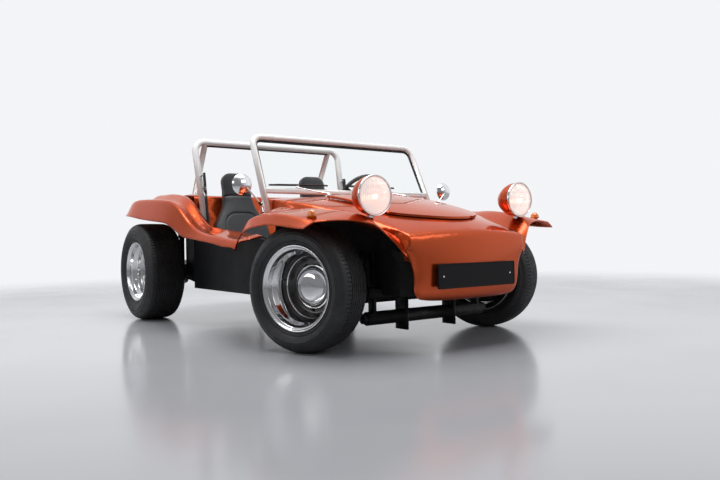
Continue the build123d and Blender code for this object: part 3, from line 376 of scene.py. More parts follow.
def pressed_centre(disc_y):
    """Pressed black disc whose dished edge meets the barrel."""
    section = [(0.03, -0.003), (0.126, -0.003), (0.133, 0.001), (0.148, 0.019), (0.158, 0.037),
        (0.1645, 0.045), (0.1645, 0.041), (0.1555, 0.033), (0.146, 0.015), (0.131, -0.0035),
        (0.126, -0.0065), (0.03, -0.0065)]
    return spun([(r, disc_y + y) for r, y in section], 128)


def oval_plug(segments, low_r, high_r, depth, stretch):
    """A tapered plug along Z, drawn out to an oval along Y."""
    work = bmesh.new()
    bmesh.ops.create_cone(work, cap_ends=True, segments=segments, radius1=low_r, radius2=high_r, depth=depth)
    bmesh.ops.scale(work, vec=(1, stretch, 1), verts=work.verts)
    return work


def centre_slot(turn):
    """Slanted dark oval in the place of one of the slots near the disc's edge."""
    seat = turn @ shift(0.1385, -0.1395, 0) @ turned("Z", 50) @ turned("X", -90)
    return moved(oval_plug(20, 0.0082, 0.0095, 0.004, 2.6), seat)


def rivet(turn):
    return moved(rod((0.112, -0.149, 0), (0.112, -0.139, 0), 0.0075, 6), turn)


def finned_drum(section, first_y, fin_r, fin_wide, pitch, fins):
    """Brake drum with cooling fins round it."""
    shapes = [spun(section, 64)]
    for k in range(fins):
        y = first_y - k * pitch
        shapes.append(spun([(0.124, y), (fin_r, y), (fin_r, y - fin_wide), (0.124, y - fin_wide)], 64))
    return joined(shapes)


def wheel_part(kind, wheel, shape, place, material, crease=None):
    """One part of a wheel, in its place and riding on it; wheel is its end and side."""
    piece = show(moved(shape, place), f"{kind}_{wheel}", material, crease is not None, crease)
    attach(piece, f"wheel_{wheel}")
    return piece


FRONT_CAP = [(0.1065, -0.151), (0.108, -0.147), (0.108, -0.143), (0.1062, -0.1395), (0.1045, -0.139),
    (0.103, -0.1405), (0.1005, -0.1395), (0.0975, -0.1335), (0.0925, -0.1255), (0.083, -0.115),
    (0.07, -0.1063), (0.054, -0.1012), (0.036, -0.0988), (0.018, -0.0981), (0.0, -0.098)]
FRONT_DRUM = [(0.0, -0.1515), (0.118, -0.1515), (0.124, -0.155), (0.125, -0.16), (0.125, -0.2),
    (0.122, -0.203), (0.115, -0.203), (0.115, -0.176), (0.0, -0.176)]
WELD_RING = [(0.15, -0.1245), (0.1512, -0.1228), (0.1534, -0.1216), (0.1546, -0.119), (0.152, -0.1205)]
for side, name in SIDES:
    place, wheel = front_place(side), f"front_{name}"
    rim = wheel_part("rim", wheel, deep_rim(FRONT_RIM_WIDE), place, chrome, 50)
    wheel_part("centre", wheel, pressed_centre(FRONT_DISC_Y), place, wheel_black, 40)
    wheel_part("trim_ring", wheel, spun(WELD_RING, 128), place, chrome, 60)
    wheel_part("hub_cap", wheel, spun(FRONT_CAP, closed=False), place, chrome, 45)
    drum = finned_drum(FRONT_DRUM, -0.168, 0.1275, 0.004, 0.009, 4)
    wheel_part("drum", wheel, drum, place, drum_iron, 40)
    wheel_part("centre_slots", wheel, ring_of(8, 0.5, centre_slot), place, drum_iron, 40)
    wheel_part("rivets", wheel, ring_of(5, 10 / 72, rivet), place, drum_iron)
    bend = (0.15, -0.11, 0.03)
    stem = [rod(bend, (0.172, -0.088, 0.034), 0.0042, 12), rod((0.146, -0.114, 0.029), bend, 0.003, 10)]
    wheel_part("valve", wheel, joined(stem), place, wheel_black, 40)
    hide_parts(f"wheel_front_{name}")

# ---------- rear wheels
# Wider polished alloy wheels: a deep barrel with a five-slot centre cast in one piece, a small
# cap over the axle nut and the finned drum behind.
REAR_AXLE_X, REAR_HUB_Z, REAR_PLANE_Y, REAR_RIM_WIDE = -0.964, 0.338, 0.838, 0.235
SLOT_COUNT, SLOT_R, NUT_R, CAST_EDGE = 5, 0.112, 0.058, 0.003
REAR_CENTRE = [(0.0, -0.09), (0.046, -0.09), (0.056, -0.0935), (0.075, -0.1005), (0.1, -0.1045),
    (0.135, -0.1035), (0.152, -0.0975), (0.1645, -0.088), (0.1645, -0.108), (0.15, -0.1165), (0.06, -0.1195),
    (0.0, -0.1195)]
REAR_CAP = [(0.036, -0.091), (0.036, -0.078), (0.033, -0.0745), (0.024, -0.072), (0.022, -0.0705),
    (0.0, -0.0695)]
REAR_DRUM = [(0.0, -0.12), (0.119, -0.12), (0.125, -0.125), (0.125, -0.186), (0.122, -0.189), (0.11, -0.19),
    (0.0, -0.19)]
alloy = finish("polished_alloy", (0.74, 0.735, 0.72), metallic=1.0, rough=0.16, roughs=(45, 3, 0.1, 0.24),
    grain=(900, 3, 0.08, 0.0002))


def rear_place(side):
    """Where a rear wheel stands, from its own axis along +Y with the rim's outer plane at 0."""
    return shift(REAR_AXLE_X, side * REAR_PLANE_Y, REAR_HUB_Z) @ turned("Z", 180 if side < 0 else 0)


def settled(piece):
    """Makes the piece's modifiers part of its mesh."""
    mesh = bpy.data.meshes.new_from_object(piece.evaluated_get(bpy.context.evaluated_depsgraph_get()))
    piece.modifiers.clear()
    piece.data = mesh


def cut_by(piece, cutter_shape):
    """Takes the cutter's volume out of the piece's mesh."""
    cutter = show(cutter_shape, "cutter", piece.data.materials[0], smooth=False)
    taken = piece.modifiers.new("cut", "BOOLEAN")
    taken.operation, taken.object, taken.solver = "DIFFERENCE", cutter, "EXACT"
    settled(piece)
    cutter_mesh = cutter.data
    bpy.data.objects.remove(cutter)
    bpy.data.meshes.remove(cutter_mesh)


def all_smooth(piece):
    piece.data.polygons.foreach_set("use_smooth", [True] * len(piece.data.polygons))


def window(turn):
    """Oval tapered hole between two spokes of the cast centre."""
    return moved(oval_plug(40, 0.027, 0.036, 0.06, 1.35), turn @ shift(SLOT_R, -0.104, 0) @ turned("X", -90))


def wheel_nut(turn):
    return moved(rod((NUT_R, -0.097, 0), (NUT_R, -0.08, 0), 0.0095, 6, 0.0085), turn)


for side, name in SIDES:
    place, wheel = rear_place(side), f"rear_{name}"
    rim = wheel_part("rim", wheel, deep_rim(REAR_RIM_WIDE), place, chrome, 50)
    centre = wheel_part("centre", wheel, spun(REAR_CENTRE, 120), Matrix(), alloy, 35)
    cut_by(centre, ring_of(SLOT_COUNT, 0.5, window))
    all_smooth(centre)
    centre.data.set_sharp_from_angle(angle=math.radians(30))
    edge = centre.modifiers.new("cast_edges", "BEVEL")
    edge.width, edge.segments, edge.limit_method, edge.angle_limit = CAST_EDGE, 3, "ANGLE", math.radians(40)
    centre.data.transform(place)
    wheel_part("hub_cap", wheel, spun(REAR_CAP, 48, closed=False), place, chrome, 40)
    wheel_part("nuts", wheel, ring_of(5, 0, wheel_nut), place, chrome)
    wheel_part("drum", wheel, finned_drum(REAR_DRUM, -0.132, 0.129, 0.004, 0.01, 5), place, drum_iron, 40)
    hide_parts(f"wheel_rear_{name}")

# ---------- tyres
# Low-profile road radials in black rubber, moulded with zigzag rain grooves, shoulder cuts and
# fine rings on the walls; the rear pair is much wider than the front.
rubber = finish("tyre_rubber", (0.016, 0.0165, 0.0175), rough=0.55, roughs=(40, 3, 0.44, 0.66),
    colours=(9, 3, (0.012, 0.0125, 0.0135), (0.022, 0.0225, 0.024)), grain=(700, 2, 0.25, 0.0004))
TREAD_STEPS, GROOVE_DEEP = 288, 0.0062
BEAD = [(0.199, -0.011), (0.2095, -0.0055), (0.213, -0.003), (0.2165, 0.0015), (0.22, 0.0032),
        (0.2235, 0.003), (0.225, 0.0012)]  # radius, out from the rim's edge
WALL = [(0.1, -0.0085), (0.25, -0.0035), (0.42, -0.0006), (0.5, 0.0), (0.52, 0.0009), (0.56, 0.0009),
        (0.58, -0.0003), (0.74, -0.0032), (0.76, -0.0026), (0.8, -0.0036), (0.82, -0.0052),
        (1.0, -0.0115)]  # share of the height of the wall, out from its widest line
WALL_LOW, WALL_DROP = 0.2255, 0.03
SHOULDER = [(0.0215, 0.0165), (0.02, 0.0172), (0.0135, 0.0235), (0.0075, 0.0335), (0.0035, 0.045)]
TYRES = {"front": (0.31, 0.212, FRONT_RIM_WIDE, 7, 0.0042, 0.0018),
    "rear": (0.338, 0.272, REAR_RIM_WIDE, 12, 0.0034, 0.001)}


def tyre_shape(outer_r, width, rim_width, grooves, groove_w, zigzag):
    """Turned carcass; its groove lines then wander from side to side and its shoulders are nicked."""
    half, mid = width / 2, -rim_width / 2
    wall_height = outer_r - WALL_DROP - WALL_LOW
    side_wall = [(r, rim_width / 2 + off) for r, off in BEAD]
    side_wall += [(WALL_LOW + wall_height * share, half + off) for share, off in WALL]
    side_wall += [(outer_r - drop, half - inward) for drop, inward in SHOULDER]
    edge = half - 0.054
    crown = []
    pitch = 2 * edge / grooves
    for k in range(grooves):
        y = edge - (k + 0.5) * pitch
        lip, foot = groove_w / 2 + 0.0007, groove_w / 2 - 0.0003
        for off, drop in ((lip, 0.0), (foot, GROOVE_DEEP), (-foot, GROOVE_DEEP), (-lip, 0.0)):
            crown.append((outer_r - 0.0015 * ((y + off) / edge) ** 2 - drop, y + off))
    far_wall = [(r, -y) for r, y in reversed(side_wall)]
    shape = spun([(r, y + mid) for r, y in side_wall + crown + far_wall], TREAD_STEPS, closed=False)
    for vert in shape.verts:
        r, y = math.hypot(vert.co.x, vert.co.z), vert.co.y - mid
        if abs(y) < edge and r > outer_r - 0.012:
            turn = (math.atan2(vert.co.z, vert.co.x) / math.tau * TREAD_STEPS / 4) % 1
            vert.co.y += zigzag * (abs(turn - 0.5) * 4 - 1)
    nicked = []
    for face in shape.faces:
        centre = face.calc_center_median()
        step = round(math.atan2(centre.z, centre.x) / math.tau * TREAD_STEPS - 0.5)
        r, y = math.hypot(centre.x, centre.z), abs(centre.y - mid)
        if step % 3 == 0 and outer_r - 0.008 < r and edge - pitch * 0.1 < y < half - 0.03:
            nicked.append(face)
    bmesh.ops.inset_individual(shape, faces=nicked, thickness=0.0016, depth=-0.003, use_even_offset=True)
    return shape


for side, name in SIDES:
    for end, place in (("front", front_place(side)), ("rear", rear_place(side))):
        tyre = show(moved(tyre_shape(*TYRES[end]), place), f"tread_{end}_{name}", rubber, crease=42)
        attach(tyre, f"wheel_{end}_{name}")
        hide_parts(f"tyre_{end}_{name}")

# ---------- headlamps
# Bullet lamps on short stalks over the fenders: spun steel buckets in body colour, chromed
# rims, and fluted glass over a silvered bowl with the bulb alight.
LAMP_X, LAMP_Y, LAMP_Z = 1.389, 0.494, 0.738
bowl_silver = finish("lamp_bowl_silver", (0.85, 0.83, 0.8), metallic=1.0, rough=0.18,
    sockets={"Emission Color": (1.0, 0.86, 0.72, 1), "Emission Strength": 0.1})
lit_bulb = finish("lamp_bulb_lit", (1.0, 0.95, 0.88), rough=0.3, roughs=(60, 3, 0.25, 0.35),
    sockets={"Emission Color": (1.0, 0.88, 0.72, 1), "Emission Strength": 4.0})
fluted_glass = finish("lamp_fluted_glass", (0.97, 0.95, 0.92), rough=0.12,
    sockets={"Transmission Weight": 0.72, "IOR": 1.45, "Emission Strength": 0.245,
    "Emission Color": (1.0, 0.97, 0.92, 1)})


def waves(material, direction, scale, distortion=0.0):
    """Fine parallel ridges across one of the object's directions."""
    node = pattern(material, "Wave", scale, Distortion=distortion)
    node.bands_direction = direction
    return node.outputs["Fac"]


flutes, blocks = waves(fluted_glass, "Y", 36.0, 0.6), waves(fluted_glass, "Z", 9.0)
raise_grain(fluted_glass, combined(fluted_glass.node_tree, "ADD", flutes, blocks), 0.7, 0.0016)


def facing_front(x, y, z):
    """Turns a piece spun about +Y so that its +Y looks forward, and moves it to its place."""
    return shift(x, y, z) @ turned("Z", -90)


def mount(slot_name, *pieces):
    """Pieces fixed to the car; slot_name is not used."""
    for piece in pieces:
        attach(piece, "car")


LAMP_RIM = [(0.0888, -0.004), (0.0935, -0.009), (0.0952, -0.006), (0.096, -0.001), (0.0952, 0.0035),
    (0.0938, 0.0055), (0.092, 0.006), (0.0902, 0.0048), (0.089, 0.0022)]
LAMP_BOWL = [(0.0882, -0.0045), (0.08, -0.0052), (0.07, -0.0062), (0.05, -0.0072), (0.02, -0.0079),
    (0.0, -0.008)]
LAMP_GLASS = [(0.0, 0.0165), (0.02, 0.016), (0.04, 0.0143), (0.058, 0.0116), (0.072, 0.0082),
    (0.083, 0.0048), (0.0892, 0.0015), (0.0892, -0.0015), (0.082, 0.0015), (0.071, 0.0055), (0.057, 0.009),
    (0.04, 0.0118), (0.02, 0.0135), (0.0, 0.014)]
dress("headlamps", body_paint, crease=40)
for side, name in SIDES:
    y = side * LAMP_Y
    place = facing_front(LAMP_X, y, LAMP_Z)
    rim = show(moved(spun(LAMP_RIM), place), f"lamp_rim_{name}", chrome, crease=60)
    bowl = show(moved(spun(LAMP_BOWL, 64, closed=False), place), f"lamp_bowl_{name}", bowl_silver)
    bulb = bmesh.new()
    bmesh.ops.create_uvsphere(bulb, u_segments=24, v_segments=14, radius=0.011)
    bmesh.ops.scale(bulb, vec=(1, 0.6, 1), verts=bulb.verts)
    bulb = show(moved(bulb, place @ shift(0, 0.001, -0.006)), f"lamp_bulb_{name}", lit_bulb)
    glass = show(moved(spun(LAMP_GLASS, closed=False), place), f"lamp_glass_{name}", fluted_glass, crease=50)
    collar = (LAMP_X - 0.0375, y, LAMP_Z - 0.087)
    nut = [rod((LAMP_X - 0.04, y, LAMP_Z - 0.098), collar, 0.019, 6),
        rod(collar, (LAMP_X - 0.0365, y, LAMP_Z - 0.083), 0.0165, 24)]
    nut = show(joined(nut), f"lamp_nut_{name}", chrome, smooth=False)
    mount("chrome", rim, bowl, bulb, nut)
    mount("clear_glass", glass)
    if side < 0:
        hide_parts("headlamp_glasses")

# ---------- indicators
# Amber plastic domes on thin chromed feet, one on the crown of each front fender, held from
# inside the arch; the whole piece, feet included, takes the amber finish.
amber = finish("amber_lens", (0.86, 0.22, 0.015), rough=0.14, coat=0.8, grain=(260, 3, 0.3, 0.0008),
    sockets={"Transmission Weight": 0.25})
dress("indicators", amber, crease=35)

# ---------- front plate holder
# Blank satin black plastic holder with a raised edge, on the face of the nose; a chromed screw at
# each end holds it.
PLATE_CORNER, PLATE_EDGE, PLATE_DROP, PLATE_SCREW_Y = 0.009, 0.005, 0.0016, 0.225
plate_black = finish("plate_black", (0.007, 0.007, 0.008), rough=0.4, grain=(900, 3, 0.15, 0.0002),
    sockets={"Specular IOR Level": 0.15})


def block(centre, size):
    """A box about its centre."""
    work = bmesh.new()
    bmesh.ops.create_cube(work, size=1, matrix=Matrix.Translation(centre) @ Matrix.Diagonal((*size, 1)))
    return work


def rounded(shape, chosen, offset, segments, affect="EDGES"):
    """The shape with its chosen edges or corners rounded."""
    bmesh.ops.bevel(shape, geom=chosen, offset=offset, segments=segments, profile=0.5, affect=affect,
        material=-1)
    return shape


def edge_span(edge):
    return edge.verts[0].co - edge.verts[1].co


low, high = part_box("number_plate")
plate = block((low + high) / 2, high - low)
rounded(plate, [e for e in plate.edges if abs(edge_span(e).x) > 0.005], PLATE_CORNER, 5)
front_face = [f for f in plate.faces if f.normal.x > 0.9]
bmesh.ops.inset_region(plate, faces=front_face, thickness=PLATE_EDGE, depth=0.0)
bmesh.ops.inset_region(plate, faces=front_face, thickness=0.0015, depth=-PLATE_DROP)
plate = show(plate, "plate_holder", plate_black, crease=30)
mount("black_trim", plate)
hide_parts("number_plate")
middle_z = (low.z + high.z) / 2
screws = [rod((high.x - 0.0022, y, middle_z), (high.x - 0.0004, y, middle_z), 0.0045)
    for y in (-PLATE_SCREW_Y, PLATE_SCREW_Y)]
screws = show(joined(screws), "plate_screws", chrome, smooth=False)
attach(screws, "car")

# ---------- windscreen
# White enamelled tube bent over the laminated pane, its legs bolted through the front fenders, a
# flat bar under the pane and black rubber round the glass.
SCREEN_LOW, SCREEN_TOP, TUBE_R = Vector((0.51, 0, 0.818)), Vector((0.36, 0, 1.138)), 0.018
SEAL_FOOT, SEAL_HEAD, SEAL_WIDE, SEAL_THICK, SEAL_BACK = 0.587, 0.575, 0.012, 0.01, 0.008
white_enamel = finish("white_enamel", (0.86, 0.86, 0.85), rough=0.24, coat=0.7, roughs=(30, 3, 0.2, 0.3),
    grain=(180, 3, 0.06, 0.0004))
seal_rubber = finish("seal_rubber", (0.012, 0.012, 0.012), rough=0.6, grain=(900, 3, 0.3, 0.0002))
pane_glass = finish("pane_glass", (0.96, 0.985, 0.975), rough=0.0,
    sockets={"Transmission Weight": 1.0, "IOR": 1.12})
dress("windscreen_frame", white_enamel, crease=50)
dress("windscreen_glass", pane_glass, crease=20)
slope = (SCREEN_TOP - SCREEN_LOW).normalized()
pane_height = (SCREEN_TOP - SCREEN_LOW).length - TUBE_R - 0.0045
corners = ((-SEAL_FOOT, 0), (SEAL_FOOT, 0), (SEAL_HEAD, pane_height), (-SEAL_HEAD, pane_height))
seal = bmesh.new()
seal.faces.new([seal.verts.new((x, y, 0)) for x, y in corners])
rounded(seal, [v for v in seal.verts if v.co.y > 0], 0.045, 8, "VERTICES")
bmesh.ops.inset_region(seal, faces=seal.faces[:], thickness=SEAL_WIDE, depth=0, use_boundary=True,
    use_even_offset=True)
middle = max(seal.faces, key=lambda f: f.calc_area())
bmesh.ops.delete(seal, geom=[middle], context="FACES")
bmesh.ops.solidify(seal, geom=seal.faces[:], thickness=SEAL_THICK)
bmesh.ops.translate(seal, vec=(0, 0, SEAL_THICK / 2 - max(v.co.z for v in seal.verts)), verts=seal.verts)
across = Vector((0, 1, 0))
outward = slope.cross(across) * -1
seal_foot = SCREEN_LOW + slope * 0.006 - outward * SEAL_BACK
moved(seal, standing(across, slope, outward, seal_foot))
bmesh.ops.recalc_face_normals(seal, faces=seal.faces)
seal = show(seal, "screen_seal", seal_rubber, crease=40)
mount("black_trim", seal)

# ---------- wipers
# Chromed steel arms, each nutted to a spindle in the scuttle, with black sprung blades parked low
# on the glass.
WIPERS = [  # spindle, elbow, blade ends
    ((0.693, -0.282, 0.786), (0.56, -0.42, 0.838), (0.505, -0.56, 0.85), (0.52, -0.18, 0.856)),
    ((0.693, 0.282, 0.786), (0.56, 0.13, 0.838), (0.515, -0.06, 0.858), (0.52, 0.32, 0.856)),
]
blade_black = finish("blade_black", (0.01, 0.01, 0.01), rough=0.5, grain=(500, 3, 0.2, 0.0003))
arms, blades = [], []
for wiper in WIPERS:
    spindle, elbow, low_end, high_end = map(Vector, wiper)
    foot, cap, tip, hip = (spindle + Vector((0, 0, lift)) for lift in (-0.008, 0.003, 0.013, 0.008))
    knee = spindle.lerp(elbow, 0.35) + Vector((0, 0, 0.004))
    grip = (low_end + high_end) / 2 + Vector((0.004, 0, 0.002))
    arms += [rod(foot, cap, 0.0155, 32), rod(cap, tip, 0.0115, 6, 0.0095),
        rod(hip, knee, 0.0062, 12, 0.0048), rod(knee, elbow, 0.0034, 12), rod(elbow, grip, 0.003, 12)]
    run = high_end - low_end
    for a, b, lift in ((0.1, 0.9, 0.007), (0.02, 0.3, 0.004), (0.7, 0.98, 0.004)):
        off = Vector((lift, 0, lift * 0.4))
        blades.append(rod(low_end + run * a + off, low_end + run * b + off, 0.0038, 8))
    lip = Vector((0.006, 0, 0))
    blades += [rod(low_end, high_end, 0.0048, 10), rod(low_end - lip, high_end - lip, 0.002, 6)]
arms = show(joined(arms), "wiper_arms", chrome, crease=40)
blades = show(joined(blades), "wiper_blades", blade_black, crease=40)
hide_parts("wipers")
mount("black_trim", arms, blades)

# ---------- mirrors
# Round chromed heads on thin arms, each clamped to a leg of the windscreen frame; the flat
# mirror glass looks back at the seats.
MIRROR_Y, MIRROR_Z, CLAMP_Y, CLAMP_Z = 0.737, 0.845, 0.622, 0.722
MIRROR_BOWL = [(0.0, 0.03), (0.008, 0.0297), (0.02, 0.0278), (0.032, 0.024), (0.043, 0.0178),
    (0.052, 0.0095), (0.0565, 0.0015), (0.0578, -0.0005), (0.0578, -0.0022), (0.0562, -0.0032),
    (0.0535, -0.0026), (0.0525, -0.001), (0.0, -0.001)]
mirror_silver = finish("mirror_silver", (0.86, 0.88, 0.88), metallic=1.0, rough=0.02,
    roughs=(12, 3, 0.01, 0.03))
for side, name in SIDES:
    place = facing_front(0.53, side * MIRROR_Y, MIRROR_Z)
    bowl = show(moved(spun(MIRROR_BOWL, 72, closed=False), place), f"mirror_head_{name}", chrome, crease=50)
    silver = spun([(0.0528, -0.0016), (0.0, -0.0016)], 72, closed=False)
    silver = show(moved(silver, place), f"mirror_glass_{name}", mirror_silver)
    clamp, head = Vector((0.552, side * CLAMP_Y, CLAMP_Z)), Vector((0.544, side * MIRROR_Y, MIRROR_Z))
    clamp_low = clamp - Vector((0, side * 0.004, 0.026))
    clamp_high = clamp + Vector((-0.016, -side * 0.004, 0.026))
    arm = [rod(head + Vector((0.01, 0, 0)), clamp, 0.0042),
        rod(head + Vector((0.016, 0, 0)), head + Vector((-0.004, 0, 0)), 0.0085, 20),
        rod(clamp_low, clamp_high, 0.01, 24)]
    arm = show(joined(arm), f"mirror_arm_{name}", chrome, crease=40)
    joint = rod(clamp.lerp(head, 0.1), clamp.lerp(head, 0.24), 0.0078, 20, 0.0064)
    joint = show(joint, f"mirror_joint_{name}", blade_black, crease=40)
    mount("chrome", bowl, silver, arm, joint)
    if side < 0:
        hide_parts("mirrors")

# ---------- roll bar
# White enamelled hoop behind the seats with two stays to plates on the deck, each held by four
# bolts, and a thin black rubber strip under the top tube that paints the shade along its underside.
HOOP_X, HOOP_TOP, HOOP_TUBE_R, SHADE_STRIP_HALF, SHADE_STRIP_R = -0.495, 1.239, 0.022, 0.505, 0.0075
PLATE_X, PLATE_Y, PLATE_TOP, BOLT_CIRCLE_R = -0.69, 0.5, 0.8712, 0.031
dress("roll_bar", white_enamel, crease=50)
zinc = finish("zinc_plate", (0.55, 0.55, 0.53), metallic=1.0, rough=0.38, roughs=(160, 3, 0.3, 0.5))
bolts = []
for side, _ in SIDES:
    for angle in map(math.radians, (45, 135, 225, 315)):
        x, y = PLATE_X + BOLT_CIRCLE_R * math.cos(angle), side * PLATE_Y + BOLT_CIRCLE_R * math.sin(angle)
        bolts.append(rod((x, y, PLATE_TOP), (x, y, PLATE_TOP + 0.0053), 0.0062, 6))
bolts = show(joined(bolts), "roll_bar_bolts", zinc, smooth=False)
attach(bolts, "car")
# painted shade: a dark rubber strip laid under the top tube to stand for the shade along its underside
shade_strip_z = HOOP_TOP - 2 * HOOP_TUBE_R - 0.002
shade_strip = rod((HOOP_X, -SHADE_STRIP_HALF, shade_strip_z), (HOOP_X, SHADE_STRIP_HALF, shade_strip_z), SHADE_STRIP_R)
shade_strip = show(shade_strip, "hoop_shade_strip", seal_rubber, crease=40)
mount("black_trim", shade_strip)

# ---------- seats
# High-backed bucket seats: foam pads under charcoal leathercloth, with a cloth-faced headrest
# sewn on at the shoulders and a pressed-in middle panel, on a black moulded base.
SEAT_Y, BACK_LEAN, BACK_FOOT = 0.31, math.radians(14), Vector((-0.33, 0, 0.33))
BACK_HALF = [(0.217, 0.006, 0.025), (0.217, 0.287, 0.045), (0.123, 0.452, 0.035), (0.11, 0.56, 0.02),
             (0.101, 0.696, 0.062)]  # half width, height up the back, reach of the rounding
CUSHION_HALF, CUSHION_BACK = [(0.215, 0.0, 0.03), (0.215, 0.388, 0.05)], Vector((-0.248, 0, 0.312))
BACK_THICK, CUSHION_THICK, HEADREST_SEAM, BORDER_SEAM, PILLOW = 0.07, 0.098, 0.515, 0.062, 0.01
VOXEL, AIR_FORCE, AIR_FRAMES = 0.01, 4.0, 20
PANEL_MIDDLE, BACK_PANEL, CUSHION_PANEL = 0.17, ((0.122, 0.222), 0.08), ((0.132, 0.15), 0.045)
BASE_CENTRE, BASE_SIZE = Vector((-0.093, 0, 0.276)), Vector((0.468, 0.424, 0.079))


def cells(material, scale):
    """Small rounded cells, as in a leather grain."""
    return pattern(material, "Voronoi", scale).outputs["Distance"]


leathercloth = finish("charcoal_leathercloth", (0.02, 0.021, 0.024), rough=0.46, roughs=(14, 3, 0.4, 0.56),
    colours=(7, 3, (0.016, 0.017, 0.02), (0.026, 0.027, 0.031)))
raise_grain(leathercloth, cells(leathercloth, 620), 0.35, 0.0005)
seat_cloth = finish("headrest_cloth", (0.012, 0.012, 0.014), rough=0.9, sockets={"Sheen Weight": 0.35})
threads = [waves(seat_cloth, direction, 190, 0.8) for direction in ("Y", "Z")]
crossed = combined(seat_cloth.node_tree, "MULTIPLY", *threads)
raise_grain(seat_cloth, crossed, 0.6, 0.0006)
blend_colours(seat_cloth, crossed, (0.009, 0.009, 0.011), (0.021, 0.021, 0.024), 0.1, 0.8)
moulded_black = finish("moulded_black", (0.014, 0.014, 0.015), grain=(800, 3, 0.25, 0.0003))


def pad_blank(outline, thick, edge):
    """A flat pad with rounded corners and edges, from its half outline (u, v, radius)."""
    work = bmesh.new()
    ring = outline + [(-u, v, r) for u, v, r in reversed(outline)]
    verts = [work.verts.new((u, v, 0)) for u, v, _ in ring]
    work.faces.new(verts)
    for vert, (_, _, radius) in zip(verts, ring):
        rounded(work, [vert], radius, 7, "VERTICES")
    grown = bmesh.ops.extrude_face_region(work, geom=work.faces[:])["geom"]
    top = [v for v in grown if isinstance(v, bmesh.types.BMVert)]
    bmesh.ops.translate(work, vec=(0, 0, thick), verts=top)
    rounded(work, [e for e in work.edges if abs(edge_span(e).z) < 0.0001], edge, 5)
    bmesh.ops.recalc_face_normals(work, faces=work.faces)
    return work


def stuffed(piece):
    """Even mesh, swollen as cloth by a little air with no point moved further than PILLOW."""
    even = piece.modifiers.new("even", "REMESH")
    even.mode, even.voxel_size = "VOXEL", VOXEL
    settled(piece)
    blank = [v.co.copy() for v in piece.data.vertices]
    air = piece.modifiers.new("air", "CLOTH")
    air.settings.use_pressure = True
    air.settings.uniform_pressure_force = AIR_FORCE
    air.settings.effector_weights.gravity = 0
    for step in range(AIR_FRAMES):
        scene.frame_set(step + 1)
    settled(piece)
    for vert, start in zip(piece.data.vertices, blank):
        swell = vert.co - start
        if swell.length > PILLOW:
            vert.co = start + swell * (PILLOW / swell.length)
    scene.frame_set(1)
    finer = piece.modifiers.new("finer", "SUBSURF")
    finer.levels = finer.render_levels = 1
    settled(piece)
    all_smooth(piece)


def panel_distance(point, half, radius):
    """How far a point lies outside a pad's rounded middle panel; below zero inside it."""
    du, dv = abs(point.x) - half[0] + radius, abs(point.y - PANEL_MIDDLE) - half[1] + radius
    return math.hypot(max(du, 0), max(dv, 0)) + min(max(du, dv), 0) - radius


def groove(off, wide, deep):
    """How far a seam draws the cover in, at a distance from its line."""
    return deep * math.exp(-(off / wide) ** 2)


def sewn(piece, depth_at):
    """Draws each point in along its normal by the depth of the seams there."""
    normals = [v.normal.copy() for v in piece.data.vertices]
    for vert, normal in zip(piece.data.vertices, normals):
        vert.co -= normal * depth_at(vert.co, normal)


def back_seams(point, normal):
    """Headrest seam right round, the middle panel on the front, and a side seam each side."""
    depth = groove(point.y - HEADREST_SEAM, 0.0055, 0.0065)
    if normal.z > 0.3:
        off = panel_distance(point, *BACK_PANEL)
        depth += groove(off, 0.006, 0.006) + 0.0035 * min(1.0, max(-off, 0.0) / 0.012)
    return depth + groove(point.z - BACK_THICK * 0.42, 0.0045, 0.0035) * (1 - abs(normal.z))


def cushion_seams(point, normal):
    """A middle panel on top and a seam round the border."""
    depth = groove(panel_distance(point, *CUSHION_PANEL), 0.006, 0.006) if normal.z > 0.3 else 0.0
    return depth + groove(point.z - BORDER_SEAM, 0.0045, 0.004) * (1 - abs(normal.z))


lean_up = Vector((-math.sin(BACK_LEAN), 0, math.cos(BACK_LEAN)))
lean_out = Vector((math.cos(BACK_LEAN), 0, math.sin(BACK_LEAN)))
back_place = standing(across, lean_up, lean_out, BACK_FOOT + lean_out * 0.008)
cushion_place = standing(across, Vector((1, 0, 0)), Vector((0, 0, 1)), CUSHION_BACK)
back = show(pad_blank(BACK_HALF, BACK_THICK, 0.024), "seat_back", leathercloth)
stuffed(back)
sewn(back, back_seams)
paint_where(back, seat_cloth, lambda centre: centre.y > HEADREST_SEAM)
cushion = show(pad_blank(CUSHION_HALF, CUSHION_THICK, 0.026), "seat_cushion", leathercloth)
stuffed(cushion)
sewn(cushion, cushion_seams)
for pad, place in ((back, back_place), (cushion, cushion_place)):
    pad.data.transform(place)
    if place.determinant() < 0:  # a pad laid as if in a mirror has its faces turned back outwards
        pad.data.flip_normals()
base = block(BASE_CENTRE, BASE_SIZE)
base = show(rounded(base, base.edges[:], 0.012, 3), "seat_base", moulded_black, crease=40)
for side, name in SIDES:
    for pad in (back, cushion, base):
        piece = pad
        if side < 0:
            piece = bpy.data.objects.new(pad.name + "_right", pad.data.copy())
            scene.collection.objects.link(piece)
        else:
            pad.name += "_left"
        piece.data.transform(shift(0, side * SEAT_Y, 0))
        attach(piece, "car")
    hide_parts(f"seat_{name}")

